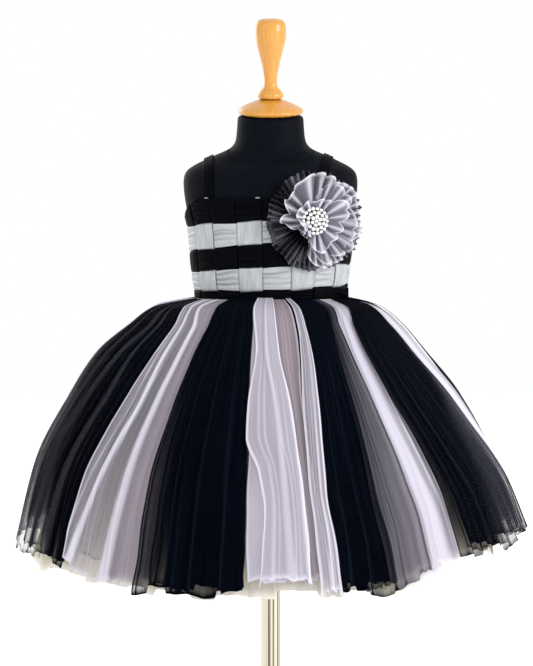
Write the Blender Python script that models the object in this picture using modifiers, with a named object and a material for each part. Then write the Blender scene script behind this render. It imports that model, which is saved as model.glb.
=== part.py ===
"""Child's party dress, basket-weave satin bodice and tulle skirt, on a limbless dress form.

Metres, +Z up. The origin is the centre of the base's underside, and the front faces -Y.
Angles are in degrees round the body from the front, growing towards +X.
"""
import math
from collections import namedtuple

import bmesh
import bpy
import numpy as np
from mathutils import Matrix, Vector

# Fit between pieces
SEAM = 0.0003
CLOTH_STANDOFF = 0.0008

# Dress form: the rings of its torso, straight between one another
Ring = namedtuple("Ring", "height half_width half_depth forward tilt")
FORM_RINGS = (
    Ring(0.5000, 0.0880, 0.0690, 0.000, 0.0),
    Ring(0.5080, 0.0980, 0.0780, 0.000, 0.0),
    Ring(0.5450, 0.1040, 0.0830, 0.000, 0.0),
    Ring(0.5900, 0.0990, 0.0785, 0.000, 0.0),
    Ring(0.6435, 0.0905, 0.0712, 0.000, 0.0),
    Ring(0.6690, 0.0936, 0.0721, 0.000, 0.0),
    Ring(0.6980, 0.0966, 0.0733, 0.000, 0.0),
    Ring(0.7260, 0.0990, 0.0746, 0.000, 0.0),
    Ring(0.7536, 0.1046, 0.0752, 0.000, 0.0),
    Ring(0.7725, 0.1078, 0.0742, 0.000, 0.0),
    Ring(0.7890, 0.1090, 0.0690, 0.000, 0.0),
    Ring(0.7985, 0.1070, 0.0625, 0.000, 0.0),
    Ring(0.8045, 0.1020, 0.0570, 0.000, 0.0),
    Ring(0.8105, 0.0916, 0.0515, 0.000, 0.0),
    Ring(0.8185, 0.0750, 0.0470, 0.000, 0.0),
    Ring(0.8235, 0.0630, 0.0455, 0.000, 0.0),
    Ring(0.8290, 0.0495, 0.0440, 0.001, 0.0),
    Ring(0.8365, 0.0438, 0.0425, 0.002, 2.0),
    Ring(0.8450, 0.0422, 0.0418, 0.003, 5.0),
    Ring(0.8707, 0.0405, 0.0405, 0.005, 10.0),
)
FORM_SIDES = 28

# Stand: turned profiles as radius and height, from the top down the outer side
POLE_RADIUS = 0.0125
POLE_BORE = POLE_RADIUS + SEAM
BORE_FLOOR = 0.0097
FORM_BOTTOM = FORM_RINGS[0].height
BASE_PROFILE = (
    (0.0, BORE_FLOOR), (POLE_BORE, BORE_FLOOR), (POLE_BORE, 0.0400), (0.0165, 0.0400),
    (0.0180, 0.0385), (0.0180, 0.0170), (0.0215, 0.0130), (0.0600, 0.0115), (0.1250, 0.0085),
    (0.1370, 0.0060), (0.1400, 0.0030), (0.1395, 0.0), (0.0, 0.0),
)
SLEEVE_PROFILE = (
    (POLE_BORE, FORM_BOTTOM - SEAM), (0.0300, FORM_BOTTOM - SEAM), (0.0300, 0.4965),
    (0.0175, 0.4935), (0.0165, 0.4700), (POLE_BORE, 0.4700),
)

# Neck cap and finial: heights above the neck's tilted top
NECK = FORM_RINGS[-1]
CAP_TOP = 0.0200
CAP_PROFILE = (
    (0.0, CAP_TOP), (0.0140, CAP_TOP), (0.0240, 0.0178), (0.0340, 0.0138), (0.0392, 0.0098),
    (0.0408, 0.0062), (0.0400, 0.0025), (0.0375, SEAM), (0.0, SEAM),
)
FINIAL_PROFILE = (
    (0.0, 0.1235), (0.0062, 0.1225), (0.0125, 0.1190), (0.0170, 0.1125), (0.0188, 0.1045),
    (0.0184, 0.0960), (0.0160, 0.0840), (0.0128, 0.0700), (0.0102, 0.0570), (0.0086, 0.0465),
    (0.0084, 0.0420), (0.0096, 0.0365), (0.0130, 0.0325), (0.0156, 0.0302), (0.0159, 0.0270),
    (0.0148, 0.0240), (0.0125, 0.0215), (0.0120, CAP_TOP + SEAM), (0.0, CAP_TOP + SEAM),
)
TURNED_STEPS = 16
BASE_STEPS = 32

# Bodice
WAIST = 0.6435
NECKLINE = 0.7666
UNDERARM = 0.7435
NECK_CORNER = 52.0
PANEL_WALL = 0.0015
BACK_SAMPLES = 13
SIDE_SEAM = 90.0 - math.degrees(SEAM / 2.0 / FORM_RINGS[4].half_depth)

# Basket weave: upright strips cross level ones, each over one and under the next
WEAVE_ROWS = (NECKLINE, 0.7395, 0.7125, 0.6835, 0.6545, WAIST)
WEAVE_CENTRE = 0.0079
CENTRE_STRIP = 0.0345
STRIP_PITCH = 0.0310
STRIPS_EACH_SIDE = 4
STRIP_GAP = 0.0011
STRIP_SAMPLES = 3
SIDE_STRIP_SAMPLES = 4
STRIP_WALL = 0.0010
UNDER_LEVEL = 0.0027
OVER_LEVEL = UNDER_LEVEL + STRIP_WALL + 0.00035
WEAVE_SECTION = 0.7025

# Straps: across the shoulder from the front neckline to the back, x of the middle line
Strap = namedtuple("Strap", "name front shoulder back")
STRAPS = (
    Strap("strap_right_shoulder", -0.0766, -0.0770, -0.0600),
    Strap("strap_left_shoulder", 0.0580, 0.0731, 0.0600),
)
STRAP_WIDTH = 0.0120
STRAP_STANDOFF = 0.0009
STRAP_WALL = 0.0012
STRAP_COLUMNS = 2
STRAP_ROWS = 36
STRAP_HUB = 0.7400
STRAP_REACH = 0.1500
FRONT_TURNS = (0.0, 60.0)
BACK_TURNS = (180.0, 120.0)
BISECTIONS = 40
SLOPE_STEP = 0.0020

# Zip at the centre back
ZIP_HALF_WIDTH = 0.0052
ZIP_TAPE_WALL = 0.0010
ZIP_SLIDER_SIZE = Vector((0.0050, 0.0028, 0.0090))
ZIP_SLIDER_HEIGHT = 0.7350
ZIP_WINDOW = 0.0016
ZIP_WIRE = 0.0005
ZIP_TAB_LENGTH = 0.0150

# Skirt: outline from the front at each drop below the waist, widest fold to widest fold
Outline = namedtuple("Outline", "drop left right")
SKIRT_OUTLINE = (
    Outline(0.0100, 0.1440, 0.1340),
    Outline(0.0325, 0.1760, 0.1630),
    Outline(0.0663, 0.2160, 0.1920),
    Outline(0.1200, 0.2510, 0.2370),
    Outline(0.2000, 0.2930, 0.2840),
    Outline(0.3135, 0.3225, 0.3260),
)
SKIRT_WALL = 0.0012
WAIST_FOLD = 0.0008
HEM_FOLD = 0.0060
GORE_FOLDS = 5
HEM_WANDER = 0.0035
GORE_START = 0.0038

# Gores: angle of each one's first edge at the waist and at the hem; those behind are even
Gore = namedtuple("Gore", "name waist hem")
FRONT_GORES = (
    Gore("skirt_gore_01_black", -88.0, -92.0),
    Gore("skirt_gore_02_grey", -61.0, -53.0),
    Gore("skirt_gore_03_black", -32.0, -30.0),
    Gore("skirt_gore_04_grey", -10.0, -6.0),
    Gore("skirt_gore_05_black", 12.0, 15.0),
    Gore("skirt_gore_06_grey", 35.0, 38.0),
    Gore("skirt_gore_07_black", 58.0, 49.0),
    Gore("skirt_gore_08_grey", 82.0, 84.0),
)
GORES = 16
FIRST_BACK_GORE = Gore("behind", 106.0, 108.0)

# Petticoat: radius at each drop, inside the gores
Petticoat = namedtuple("Petticoat", "drop side")
PETTICOAT_OUTLINE = (
    Petticoat(0.0003, 0.0927),
    Petticoat(0.0045, 0.0933),
    Petticoat(0.0120, 0.0990),
    Petticoat(0.0325, 0.1270),
    Petticoat(0.0800, 0.1780),
    Petticoat(0.1600, 0.2340),
    Petticoat(0.3215, 0.2990),
)
PETTICOAT_HEM_FOLD = 0.0050
PETTICOAT_FOLDS = 6
PETTICOAT_PARTS = ("front_right", "front_left", "back_left", "back_right")

# Flower: gathered rings round a flat middle, the rise and fold are those of the outer edge
FLOWER_CENTRE = Vector((0.0520, -0.0722, 0.7390))
FLOWER_TURN = 17.0
FLOWER_FLAT = 0.0170
FLOWER_EYE = 0.0030
FLOWER_WALL = 0.0010
Ruffle = namedtuple("Ruffle", "name radius seat rise fold waves colour")
RUFFLES = (
    Ruffle("flower_back_ruffle", 0.0600, 0.0000, 0.0030, 0.0025, 28, "black_tulle"),
    Ruffle("flower_mid_ruffle", 0.0470, 0.0014, 0.0090, 0.0040, 20, "grey_tulle"),
    Ruffle("flower_front_ruffle", 0.0360, 0.0028, 0.0145, 0.0048, 13, "grey_tulle"),
)
BROOCH_SEAT = RUFFLES[-1].seat + FLOWER_WALL / 2.0 + SEAM
BROOCH_PROFILE = (
    (0.0, 0.0095), (0.0050, 0.0090), (0.0100, 0.0072), (0.0140, 0.0045), (0.0160, 0.0018),
    (0.0165, 0.0), (0.0, 0.0),
)

# Finishes: colour, roughness, metallic
Finish = namedtuple("Finish", "colour roughness metallic")
FINISHES = {
    "form_jersey": Finish("#14151d", 0.85, 0.0),
    "lacquered_wood": Finish("#dfa04e", 0.25, 0.0),
    "polished_steel": Finish("#c9ccd0", 0.18, 1.0),
    "black_satin": Finish("#0b0b10", 0.40, 0.0),
    "grey_satin": Finish("#c4c7cb", 0.35, 0.0),
    "black_tulle": Finish("#10141f", 0.80, 0.0),
    "grey_tulle": Finish("#cdc7d0", 0.80, 0.0),
    "cream_tulle": Finish("#ece6dc", 0.80, 0.0),
    "black_enamel": Finish("#15151a", 0.35, 0.6),
    "pearl": Finish("#f1eee9", 0.20, 0.0),
}


def clear_scene():
    """Remove whatever the file opens with."""
    for item in list(bpy.data.objects):
        bpy.data.objects.remove(item, do_unlink=True)


def part_collection():
    """Make the collection that holds the dress and its form."""
    collection = bpy.data.collections.new("party_dress_on_form")
    bpy.context.scene.collection.children.link(collection)
    return collection


def linear_channel(value):
    """Turn one sRGB channel into the linear value that a material takes."""
    if value <= 0.04045:
        return value / 12.92
    return ((value + 0.055) / 1.055) ** 2.4


def finish_material(name):
    """Return the material of a finish, made the first time it is asked for."""
    material = bpy.data.materials.get(name)
    if material is not None:
        return material
    finish = FINISHES[name]
    material = bpy.data.materials.new(name)
    material.use_nodes = True
    channels = [int(finish.colour[start:start + 2], 16) / 255.0 for start in (1, 3, 5)]
    colour = [linear_channel(channel) for channel in channels] + [1.0]
    shader = material.node_tree.nodes["Principled BSDF"]
    shader.inputs["Base Color"].default_value = colour
    shader.inputs["Roughness"].default_value = finish.roughness
    shader.inputs["Metallic"].default_value = finish.metallic
    return material


def add_piece(collection, name, mesh, finish):
    """Link a finished mesh as one named piece."""
    piece = bpy.data.objects.new(name, mesh)
    collection.objects.link(piece)
    mesh.materials.append(finish_material(finish))
    return piece


def mesh_from(work, name):
    """Close a bmesh into a smooth-shaded mesh with its faces pointing out."""
    bmesh.ops.recalc_face_normals(work, faces=work.faces)
    mesh = bpy.data.meshes.new(name)
    work.to_mesh(mesh)
    work.free()
    mesh.shade_smooth()
    mesh.set_sharp_from_angle(angle=math.radians(40.0))
    return mesh


def cloth_wall(collection, name, inner, outer, finish, around=False):
    """Loft a wall of cloth between two matching grids of points, rows by columns."""
    work = bmesh.new()
    sides = [[[work.verts.new(point) for point in row] for row in grid] for grid in (inner, outer)]
    rows = len(inner)
    columns = len(inner[0])
    spans = columns if around else columns - 1
    for near in sides:
        for row in range(rows - 1):
            for column in range(spans):
                after = (column + 1) % columns
                work.faces.new((near[row][column], near[row + 1][column],
                                near[row + 1][after], near[row][after]))
    below, above = sides
    for row in (0, rows - 1):
        for column in range(spans):
            after = (column + 1) % columns
            work.faces.new((below[row][column], below[row][after],
                            above[row][after], above[row][column]))
    if not around:
        for column in (0, columns - 1):
            for row in range(rows - 1):
                work.faces.new((below[row][column], below[row + 1][column],
                                above[row + 1][column], above[row][column]))
    return add_piece(collection, name, mesh_from(work, name), finish)


def turned_piece(collection, name, profile, finish, steps=TURNED_STEPS, ring=False):
    """Turn a profile about Z with a Screw modifier, closed into a ring if asked."""
    mesh = bpy.data.meshes.new(name)
    edges = [(index, index + 1) for index in range(len(profile) - 1)]
    if ring:
        edges.append((len(profile) - 1, 0))
    mesh.from_pydata([(radius, 0.0, height) for radius, height in profile], edges, [])
    piece = add_piece(collection, name, mesh, finish)
    screw = piece.modifiers.new("turn", "SCREW")
    screw.steps = steps
    screw.render_steps = steps
    screw.use_merge_vertices = True
    screw.merge_threshold = 0.00001
    screw.use_smooth_shade = True
    return piece


def form_section(height):
    """Half width and half depth of the form at a height."""
    heights = [ring.height for ring in FORM_RINGS]
    half_width = np.interp(height, heights, [ring.half_width for ring in FORM_RINGS])
    half_depth = np.interp(height, heights, [ring.half_depth for ring in FORM_RINGS])
    return float(half_width), float(half_depth)


def on_body(angle, height, offset):
    """Point that stands off the form by an offset, at an angle and a height."""
    half_width, half_depth = form_section(height)
    turn = math.radians(angle)
    return Vector(((half_width + offset) * math.sin(turn),
                   -(half_depth + offset) * math.cos(turn), height))


def build_form(collection):
    """Build the jersey-covered torso as a loft through its rings."""
    work = bmesh.new()
    loops = []
    for ring in FORM_RINGS:
        loop = []
        for side in range(FORM_SIDES):
            turn = math.tau * side / FORM_SIDES
            across = ring.half_width * math.sin(turn)
            along = -ring.half_depth * math.cos(turn)
            lift = along * math.sin(math.radians(ring.tilt))
            loop.append(work.verts.new((across, along - ring.forward, ring.height + lift)))
        loops.append(loop)
    for below, above in zip(loops, loops[1:]):
        for side in range(FORM_SIDES):
            after = (side + 1) % FORM_SIDES
            work.faces.new((below[side], below[after], above[after], above[side]))
    work.faces.new(loops[0])
    work.faces.new(loops[-1])
    add_piece(collection, "form_torso", mesh_from(work, "form_torso"), "form_jersey")


def build_neck(collection):
    """Stand the wooden cap and finial on the tilted neck."""
    seat = Matrix.Translation((0.0, -NECK.forward, NECK.height))
    lean = Matrix.Rotation(math.radians(NECK.tilt), 4, "X")
    for name, profile in (("neck_cap", CAP_PROFILE), ("finial", FINIAL_PROFILE)):
        piece = turned_piece(collection, name, profile, "lacquered_wood")
        piece.matrix_world = seat @ lean


def build_stand(collection):
    """Build the base, the pole and the sleeve under the torso."""
    turned_piece(collection, "base_plate", BASE_PROFILE, "polished_steel", steps=BASE_STEPS)
    turned_piece(collection, "pole_sleeve", SLEEVE_PROFILE, "polished_steel", ring=True)
    foot = BORE_FLOOR + SEAM
    top = FORM_BOTTOM - SEAM
    bpy.ops.mesh.primitive_cylinder_add(
        vertices=TURNED_STEPS, radius=POLE_RADIUS, depth=top - foot,
        location=(0.0, 0.0, (top + foot) / 2.0))
    pole = bpy.context.active_object
    pole.name = "pole"
    pole.data.materials.append(finish_material("polished_steel"))
    for owner in list(pole.users_collection):
        owner.objects.unlink(pole)
    collection.objects.link(pole)


def top_edge(angle):
    """Height of the bodice's cut top edge: level at the neckline, low under the arms."""
    reach = (abs(angle) - NECK_CORNER) / (SIDE_SEAM - NECK_CORNER)
    reach = min(max(reach, 0.0), 1.0)
    ease = 0.5 - 0.5 * math.cos(math.pi * reach)
    return NECKLINE + (UNDERARM - NECKLINE) * ease


def ribbon_edge(angle):
    """Height of the waist ribbon's top edge, the same all round."""
    return WEAVE_ROWS[-2] if abs(angle) > SIDE_SEAM else WEAVE_ROWS[-2] - STRIP_GAP


def arc_angles():
    """Angles round the weave's reference section, with the arc length to each."""
    half_width, half_depth = form_section(WEAVE_SECTION)
    angles = np.linspace(0.0, 90.0, 181)
    turns = np.radians(angles)
    speeds = np.hypot((half_width + OVER_LEVEL) * np.cos(turns),
                      (half_depth + OVER_LEVEL) * np.sin(turns))
    steps = np.diff(turns) * (speeds[1:] + speeds[:-1]) / 2.0
    return angles, np.concatenate(([0.0], np.cumsum(steps)))


def angle_at(arc):
    """Angle at an arc length measured round the front from its middle."""
    angles, arcs = arc_angles()
    return math.copysign(float(np.interp(abs(arc), arcs, angles)), arc)


def weave_columns():
    """Angles across each upright strip, from its first edge to its last."""
    first = [WEAVE_CENTRE - CENTRE_STRIP / 2.0 - STRIP_PITCH * step
             for step in range(STRIPS_EACH_SIDE - 1, -1, -1)]
    last = [WEAVE_CENTRE + CENTRE_STRIP / 2.0 + STRIP_PITCH * step
            for step in range(STRIPS_EACH_SIDE)]
    edges = first + last
    starts = [-SIDE_SEAM] + [angle_at(edge + STRIP_GAP) for edge in edges]
    ends = [angle_at(edge - STRIP_GAP) for edge in edges] + [SIDE_SEAM]
    columns = []
    for start, end in zip(starts, ends):
        count = SIDE_STRIP_SAMPLES if SIDE_SEAM in (-start, end) else STRIP_SAMPLES
        columns.append([float(angle) for angle in np.linspace(start, end, count)])
    return columns


def weave_heights(row, angle):
    """Top, middle and bottom of a level strip at an angle."""
    top = WEAVE_ROWS[row] - STRIP_GAP
    bottom = WEAVE_ROWS[row + 1] + STRIP_GAP
    if row == 0:
        top = top_edge(angle)
    if row == len(WEAVE_ROWS) - 2:
        bottom = WAIST
    return top, (top + bottom) / 2.0, bottom


def upright_is_over(strip, row):
    """Tell whether an upright strip lies over a level one; row 0 is the top."""
    return (strip + row) % 2 == 0


def woven_wall(collection, name, cells, finish):
    """Build a strip from rows of (angle, height, is over) cells."""
    grids = []
    for extra in (0.0, STRIP_WALL):
        grids.append([[on_body(angle, height, (OVER_LEVEL if over else UNDER_LEVEL) + extra)
                       for angle, height, over in row] for row in cells])
    return cloth_wall(collection, name, grids[0], grids[1], finish)


def build_upright_strips(collection, columns):
    """Lay the nine upright strips from the neckline to the waist."""
    for number, angles in enumerate(columns):
        strip = number - STRIPS_EACH_SIDE
        cells = []
        for row in range(len(WEAVE_ROWS) - 1):
            over = upright_is_over(strip, row)
            for level in range(3):
                cells.append([(angle, weave_heights(row, angle)[level], over)
                              for angle in angles])
        finish = "grey_satin" if strip % 2 else "black_satin"
        woven_wall(collection, f"weave_upright_{number + 1}", cells, finish)


def build_level_strips(collection, columns):
    """Lay the level strips; the narrow bottom one is the waist ribbon."""
    names = ("weave_level_1", "weave_level_2", "weave_level_3", "weave_level_4",
             "waist_ribbon_front")
    for row, name in enumerate(names):
        cells = []
        for level in range(3):
            line = []
            for number, angles in enumerate(columns):
                over = not upright_is_over(number - STRIPS_EACH_SIDE, row)
                line += [(angle, weave_heights(row, angle)[level], over) for angle in angles]
            cells.append(line)
        finish = "grey_satin" if row % 2 else "black_satin"
        woven_wall(collection, name, cells, finish)


def panel_heights(edge):
    """Heights down a panel, one at each ring of the form; the upper ones follow its edge."""
    rings = [ring.height for ring in FORM_RINGS if WAIST <= ring.height < NECKLINE]
    if edge < rings[1]:
        return [edge, WAIST]
    base = max(height for height in rings if height < UNDERARM)
    scale = (edge - base) / (NECKLINE - base)
    return [edge] + [base + max(height - base, 0.0) * scale + min(height - base, 0.0)
                     for height in reversed(rings)]


def panel_wall(collection, name, angles, edge, finish, offset, wall):
    """Build a fitted panel up from the waist to an edge, a height that may vary by angle."""
    columns = [panel_heights(edge(angle)) for angle in angles]
    grids = []
    for reach in (offset, offset + wall):
        grids.append([[on_body(angle, height, reach) for angle, height in zip(angles, heights)]
                      for heights in zip(*columns)])
    return cloth_wall(collection, name, grids[0], grids[1], finish)


def build_bodice(collection, columns):
    """Build the front panel, both back panels and the back waist ribbon."""
    front = [angle for angles in columns for angle in angles]
    panel_wall(collection, "bodice_front", front, top_edge,
               "black_satin", CLOTH_STANDOFF, PANEL_WALL)
    zip_edge = 180.0 - math.degrees((ZIP_HALF_WIDTH + SEAM) / form_section(WEAVE_SECTION)[0])
    span = np.linspace(180.0 - SIDE_SEAM, zip_edge, BACK_SAMPLES)
    for side, sign in (("left", 1.0), ("right", -1.0)):
        angles = [sign * float(angle) for angle in span]
        panel_wall(collection, f"bodice_back_{side}", angles, top_edge,
                   "black_satin", CLOTH_STANDOFF, PANEL_WALL)
        panel_wall(collection, f"waist_ribbon_back_{side}", angles, ribbon_edge,
                   "black_satin", UNDER_LEVEL, STRIP_WALL)


def form_excess(point):
    """Negative inside the form, positive outside."""
    half_width, half_depth = form_section(point.z)
    return (point.x / half_width) ** 2 + (point.y / half_depth) ** 2 - 1.0


def form_normal(point):
    """Direction out of the form at a point on it."""
    slope = Vector((0.0, 0.0, 0.0))
    for axis in range(3):
        shift = Vector((0.0, 0.0, 0.0))
        shift[axis] = SLOPE_STEP
        slope[axis] = form_excess(point + shift) - form_excess(point - shift)
    return slope.normalized()


def shoulder_point(across, turn):
    """Where a ray in the plane x = across leaves the form; turn 0 is forward, 90 is up."""
    hub = Vector((across, 0.0, STRAP_HUB))
    way = Vector((0.0, -math.cos(math.radians(turn)), math.sin(math.radians(turn))))
    near, far = 0.0, STRAP_REACH
    for _ in range(BISECTIONS):
        middle = (near + far) / 2.0
        if form_excess(hub + way * middle) < 0.0:
            near = middle
        else:
            far = middle
    return hub + way * near


def turn_at_height(across, height, turns):
    """Turn at which the shoulder curve passes a height, from a low turn to a high one."""
    low, high = turns
    for _ in range(BISECTIONS):
        middle = (low + high) / 2.0
        if shoulder_point(across, middle).z < height:
            low = middle
        else:
            high = middle
    return (low + high) / 2.0


def strap_point(strap, aside, share):
    """Point of the form under a strap, at a share of the way from front to back."""
    middle = float(np.interp(share, (0.0, 0.5, 1.0), (strap.front, strap.shoulder, strap.back)))
    first = turn_at_height(strap.front + aside, NECKLINE + SEAM, FRONT_TURNS)
    last = turn_at_height(strap.back + aside, UNDERARM + SEAM, BACK_TURNS)
    return shoulder_point(middle + aside, first + (last - first) * share)


def build_straps(collection):
    """Lay each strap over its shoulder, from neckline to back edge."""
    for strap in STRAPS:
        inner, outer = [], []
        for row in range(STRAP_ROWS + 1):
            below, above = [], []
            for column in range(STRAP_COLUMNS + 1):
                aside = STRAP_WIDTH * (column / STRAP_COLUMNS - 0.5)
                point = strap_point(strap, aside, row / STRAP_ROWS)
                normal = form_normal(point)
                if row in (0, STRAP_ROWS):
                    normal.z = 0.0
                    normal.normalize()
                below.append(point + normal * STRAP_STANDOFF)
                above.append(point + normal * (STRAP_STANDOFF + STRAP_WALL))
            inner.append(below)
            outer.append(above)
        cloth_wall(collection, strap.name, inner, outer, "black_satin")


def build_zip(collection):
    """Build the zip's tape, its slider and the wire pull that hangs through it."""
    half = math.degrees(ZIP_HALF_WIDTH / form_section(WEAVE_SECTION)[0])
    angles = [180.0 - half, 180.0, 180.0 + half]
    panel_wall(collection, "zip_tape", angles, top_edge,
               "black_satin", CLOTH_STANDOFF, ZIP_TAPE_WALL)
    depth = form_section(ZIP_SLIDER_HEIGHT + ZIP_SLIDER_SIZE.z / 2.0)[1]
    seat = depth + CLOTH_STANDOFF + ZIP_TAPE_WALL + SEAM
    centre = Vector((0.0, seat + ZIP_SLIDER_SIZE.y / 2.0, ZIP_SLIDER_HEIGHT))
    build_slider(collection, centre)
    build_pull(collection, centre)


def build_slider(collection, centre):
    """Build the slider as an outline with a window for the pull, set across the zip."""
    curve = bpy.data.curves.new("zip_slider", "CURVE")
    curve.dimensions = "2D"
    curve.fill_mode = "BOTH"
    curve.extrude = ZIP_SLIDER_SIZE.x / 2.0
    for width, height in ((ZIP_SLIDER_SIZE.y, ZIP_SLIDER_SIZE.z), (ZIP_WINDOW, ZIP_WINDOW)):
        spline = curve.splines.new("POLY")
        spline.points.add(3)
        spline.use_cyclic_u = True
        corners = ((-1, -1), (1, -1), (1, 1), (-1, 1))
        for point, (right, up) in zip(spline.points, corners):
            point.co = (right * width / 2.0, up * height / 2.0, 0.0, 1.0)
    slider = bpy.data.objects.new("zip_slider", curve)
    collection.objects.link(slider)
    curve.materials.append(finish_material("black_enamel"))
    turn = Matrix(((0, 0, 1), (1, 0, 0), (0, 1, 0))).to_4x4()
    slider.matrix_world = Matrix.Translation(centre) @ turn


def build_pull(collection, centre):
    """Build the wire pull; its origin is the middle of the bar that it turns on."""
    curve = bpy.data.curves.new("zip_tab", "CURVE")
    curve.dimensions = "3D"
    curve.bevel_depth = ZIP_WIRE
    curve.bevel_resolution = 2
    half_bar = ZIP_SLIDER_SIZE.x / 2.0 + SEAM + ZIP_WIRE
    outline = [(half_bar, 0.0), (half_bar, -ZIP_TAB_LENGTH + half_bar)]
    for step in range(1, 6):
        turn = math.pi * step / 6.0
        outline.append((half_bar * math.cos(turn),
                        -ZIP_TAB_LENGTH + half_bar - half_bar * math.sin(turn)))
    outline += [(-half_bar, -ZIP_TAB_LENGTH + half_bar), (-half_bar, 0.0)]
    spline = curve.splines.new("POLY")
    spline.points.add(len(outline) - 1)
    spline.use_cyclic_u = True
    for point, (across, up) in zip(spline.points, outline):
        point.co = (across, 0.0, up, 1.0)
    pull = bpy.data.objects.new("zip_tab", curve)
    pull.location = centre
    collection.objects.link(pull)
    curve.materials.append(finish_material("black_enamel"))


def skirt_frame(rows, row, angle):
    """Point of a skirt layer's middle surface at an angle, and its outward normal there."""
    turn = math.radians(angle)
    lean = (1.0 + math.sin(turn)) / 2.0

    def radius(item):
        return item.right * lean + item.left * (1.0 - lean)

    item = rows[row]
    before = rows[max(row - 1, 0)]
    after = rows[min(row + 1, len(rows) - 1)]
    spread = radius(after) - radius(before)
    fall = after.drop - before.drop
    length = math.hypot(spread, fall)
    out, up = fall / length, spread / length
    flare = (radius(item) - radius(rows[0])) / (radius(rows[-1]) - radius(rows[0]))
    half_width, half_depth = form_section(WAIST)
    squash = (half_width - half_depth) * (1.0 - flare)
    across = radius(item)
    point = Vector((across * math.sin(turn), -(across - squash) * math.cos(turn),
                    WAIST - item.drop))
    normal = Vector((out * math.sin(turn), -out * math.cos(turn), up))
    return point, normal, flare


def hem_wander(angle):
    """Rise and fall of the cut hem round the skirt."""
    turn = math.radians(angle)
    return HEM_WANDER * (0.6 * math.sin(3.0 * turn + 1.0) + 0.4 * math.sin(7.0 * turn))


def gathered_wall(collection, name, rows, edges, folds, fold_sizes, finish):
    """Gather a panel into zigzag folds that grow from the waist to the hem."""
    grids = ([], [])
    columns = 2 * folds
    for row in range(len(rows)):
        lines = ([], [])
        for column in range(columns + 1):
            flare = skirt_frame(rows, row, 0.0)[2]
            start = edges[0][0] + (edges[0][1] - edges[0][0]) * flare
            end = edges[1][0] + (edges[1][1] - edges[1][0]) * flare
            inset = math.degrees(SEAM / 2.0 / rows[row].right)
            share = column / columns
            angle = start + inset + (end - start - 2.0 * inset) * share
            point, normal, _ = skirt_frame(rows, row, angle)
            fold = fold_sizes[0] + (fold_sizes[1] - fold_sizes[0]) * flare
            pitch = math.radians(end - start) * rows[row].right / columns
            wall = SKIRT_WALL * math.hypot(1.0, 2.0 * fold / pitch)
            swing = 0.0
            if 0 < column < columns:
                swing = fold if column % 2 else -fold
            middle = point + normal * (swing - fold - wall / 2.0)
            if row == len(rows) - 1:
                middle.z += hem_wander(angle)
            lines[0].append(middle - normal * wall / 2.0)
            lines[1].append(middle + normal * wall / 2.0)
        grids[0].append(lines[0])
        grids[1].append(lines[1])
    return cloth_wall(collection, name, grids[0], grids[1], finish)


def gore_table():
    """Every gore round the waist: the eight in front and the even ones behind."""
    gores = list(FRONT_GORES)
    first = FIRST_BACK_GORE
    last = Gore("end", FRONT_GORES[0].waist + 360.0, FRONT_GORES[0].hem + 360.0)
    for number in range(len(FRONT_GORES), GORES):
        share = (number - len(FRONT_GORES)) / (GORES - len(FRONT_GORES))
        colour = "grey" if number % 2 else "black"
        gores.append(Gore(f"skirt_gore_{number + 1:02d}_{colour}",
                          first.waist + (last.waist - first.waist) * share,
                          first.hem + (last.hem - first.hem) * share))
    return gores + [last]


def build_skirt(collection):
    """Sew the sixteen gores round the waist, black and grey in turn."""
    waist_reach = form_section(WAIST)[0] + GORE_START
    rows = (Outline(SEAM, waist_reach, waist_reach),) + SKIRT_OUTLINE
    gores = gore_table()
    for gore, after in zip(gores, gores[1:]):
        finish = "black_tulle" if gore.name.endswith("black") else "grey_tulle"
        edges = ((gore.waist, gore.hem), (after.waist, after.hem))
        gathered_wall(collection, gore.name, rows, edges, GORE_FOLDS,
                      (WAIST_FOLD, HEM_FOLD), finish)


def build_petticoat(collection):
    """Sew the pale petticoat's four quarters inside the gores."""
    rows = [Outline(item.drop, item.side, item.side) for item in PETTICOAT_OUTLINE]
    quarter = 360.0 / len(PETTICOAT_PARTS)
    for number, place in enumerate(PETTICOAT_PARTS):
        start = -90.0 + quarter * number
        end = start + quarter
        gathered_wall(collection, f"petticoat_{place}", rows, ((start, start), (end, end)),
                      PETTICOAT_FOLDS, (0.0, PETTICOAT_HEM_FOLD), "cream_tulle")


def flower_matrix():
    """Frame of the flower: its own Z points out of the chest."""
    turn = math.radians(FLOWER_TURN)
    out = Vector((math.sin(turn), -math.cos(turn), 0.0))
    up = Vector((0.0, 0.0, 1.0))
    across = up.cross(out)
    return Matrix.Translation(FLOWER_CENTRE) @ Matrix((across, up, out)).transposed().to_4x4()


def build_flower(collection):
    """Pin the three gathered ruffles and the brooch on the chest."""
    place = flower_matrix()
    for ruffle in RUFFLES:
        radii = (FLOWER_EYE, FLOWER_FLAT, ruffle.radius)
        columns = 2 * ruffle.waves
        grids = ([], [])
        for radius in radii:
            share = max((radius - FLOWER_FLAT) / (ruffle.radius - FLOWER_FLAT), 0.0)
            pitch = math.tau * radius / columns
            wall = FLOWER_WALL * math.hypot(1.0, 2.0 * ruffle.fold * share / pitch)
            lines = ([], [])
            for column in range(columns):
                turn = math.tau * column / columns
                swing = ruffle.fold * share * (1.0 if column % 2 else -1.0)
                height = ruffle.seat + ruffle.rise * share + swing
                for line, side in zip(lines, (-0.5, 0.5)):
                    local = Vector((radius * math.cos(turn), radius * math.sin(turn),
                                    height + side * wall))
                    line.append(place @ local)
            grids[0].append(lines[0])
            grids[1].append(lines[1])
        cloth_wall(collection, ruffle.name, grids[0], grids[1], ruffle.colour, around=True)
    brooch = turned_piece(collection, "brooch", BROOCH_PROFILE, "pearl")
    brooch.matrix_world = place @ Matrix.Translation((0.0, 0.0, BROOCH_SEAT))


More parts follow.
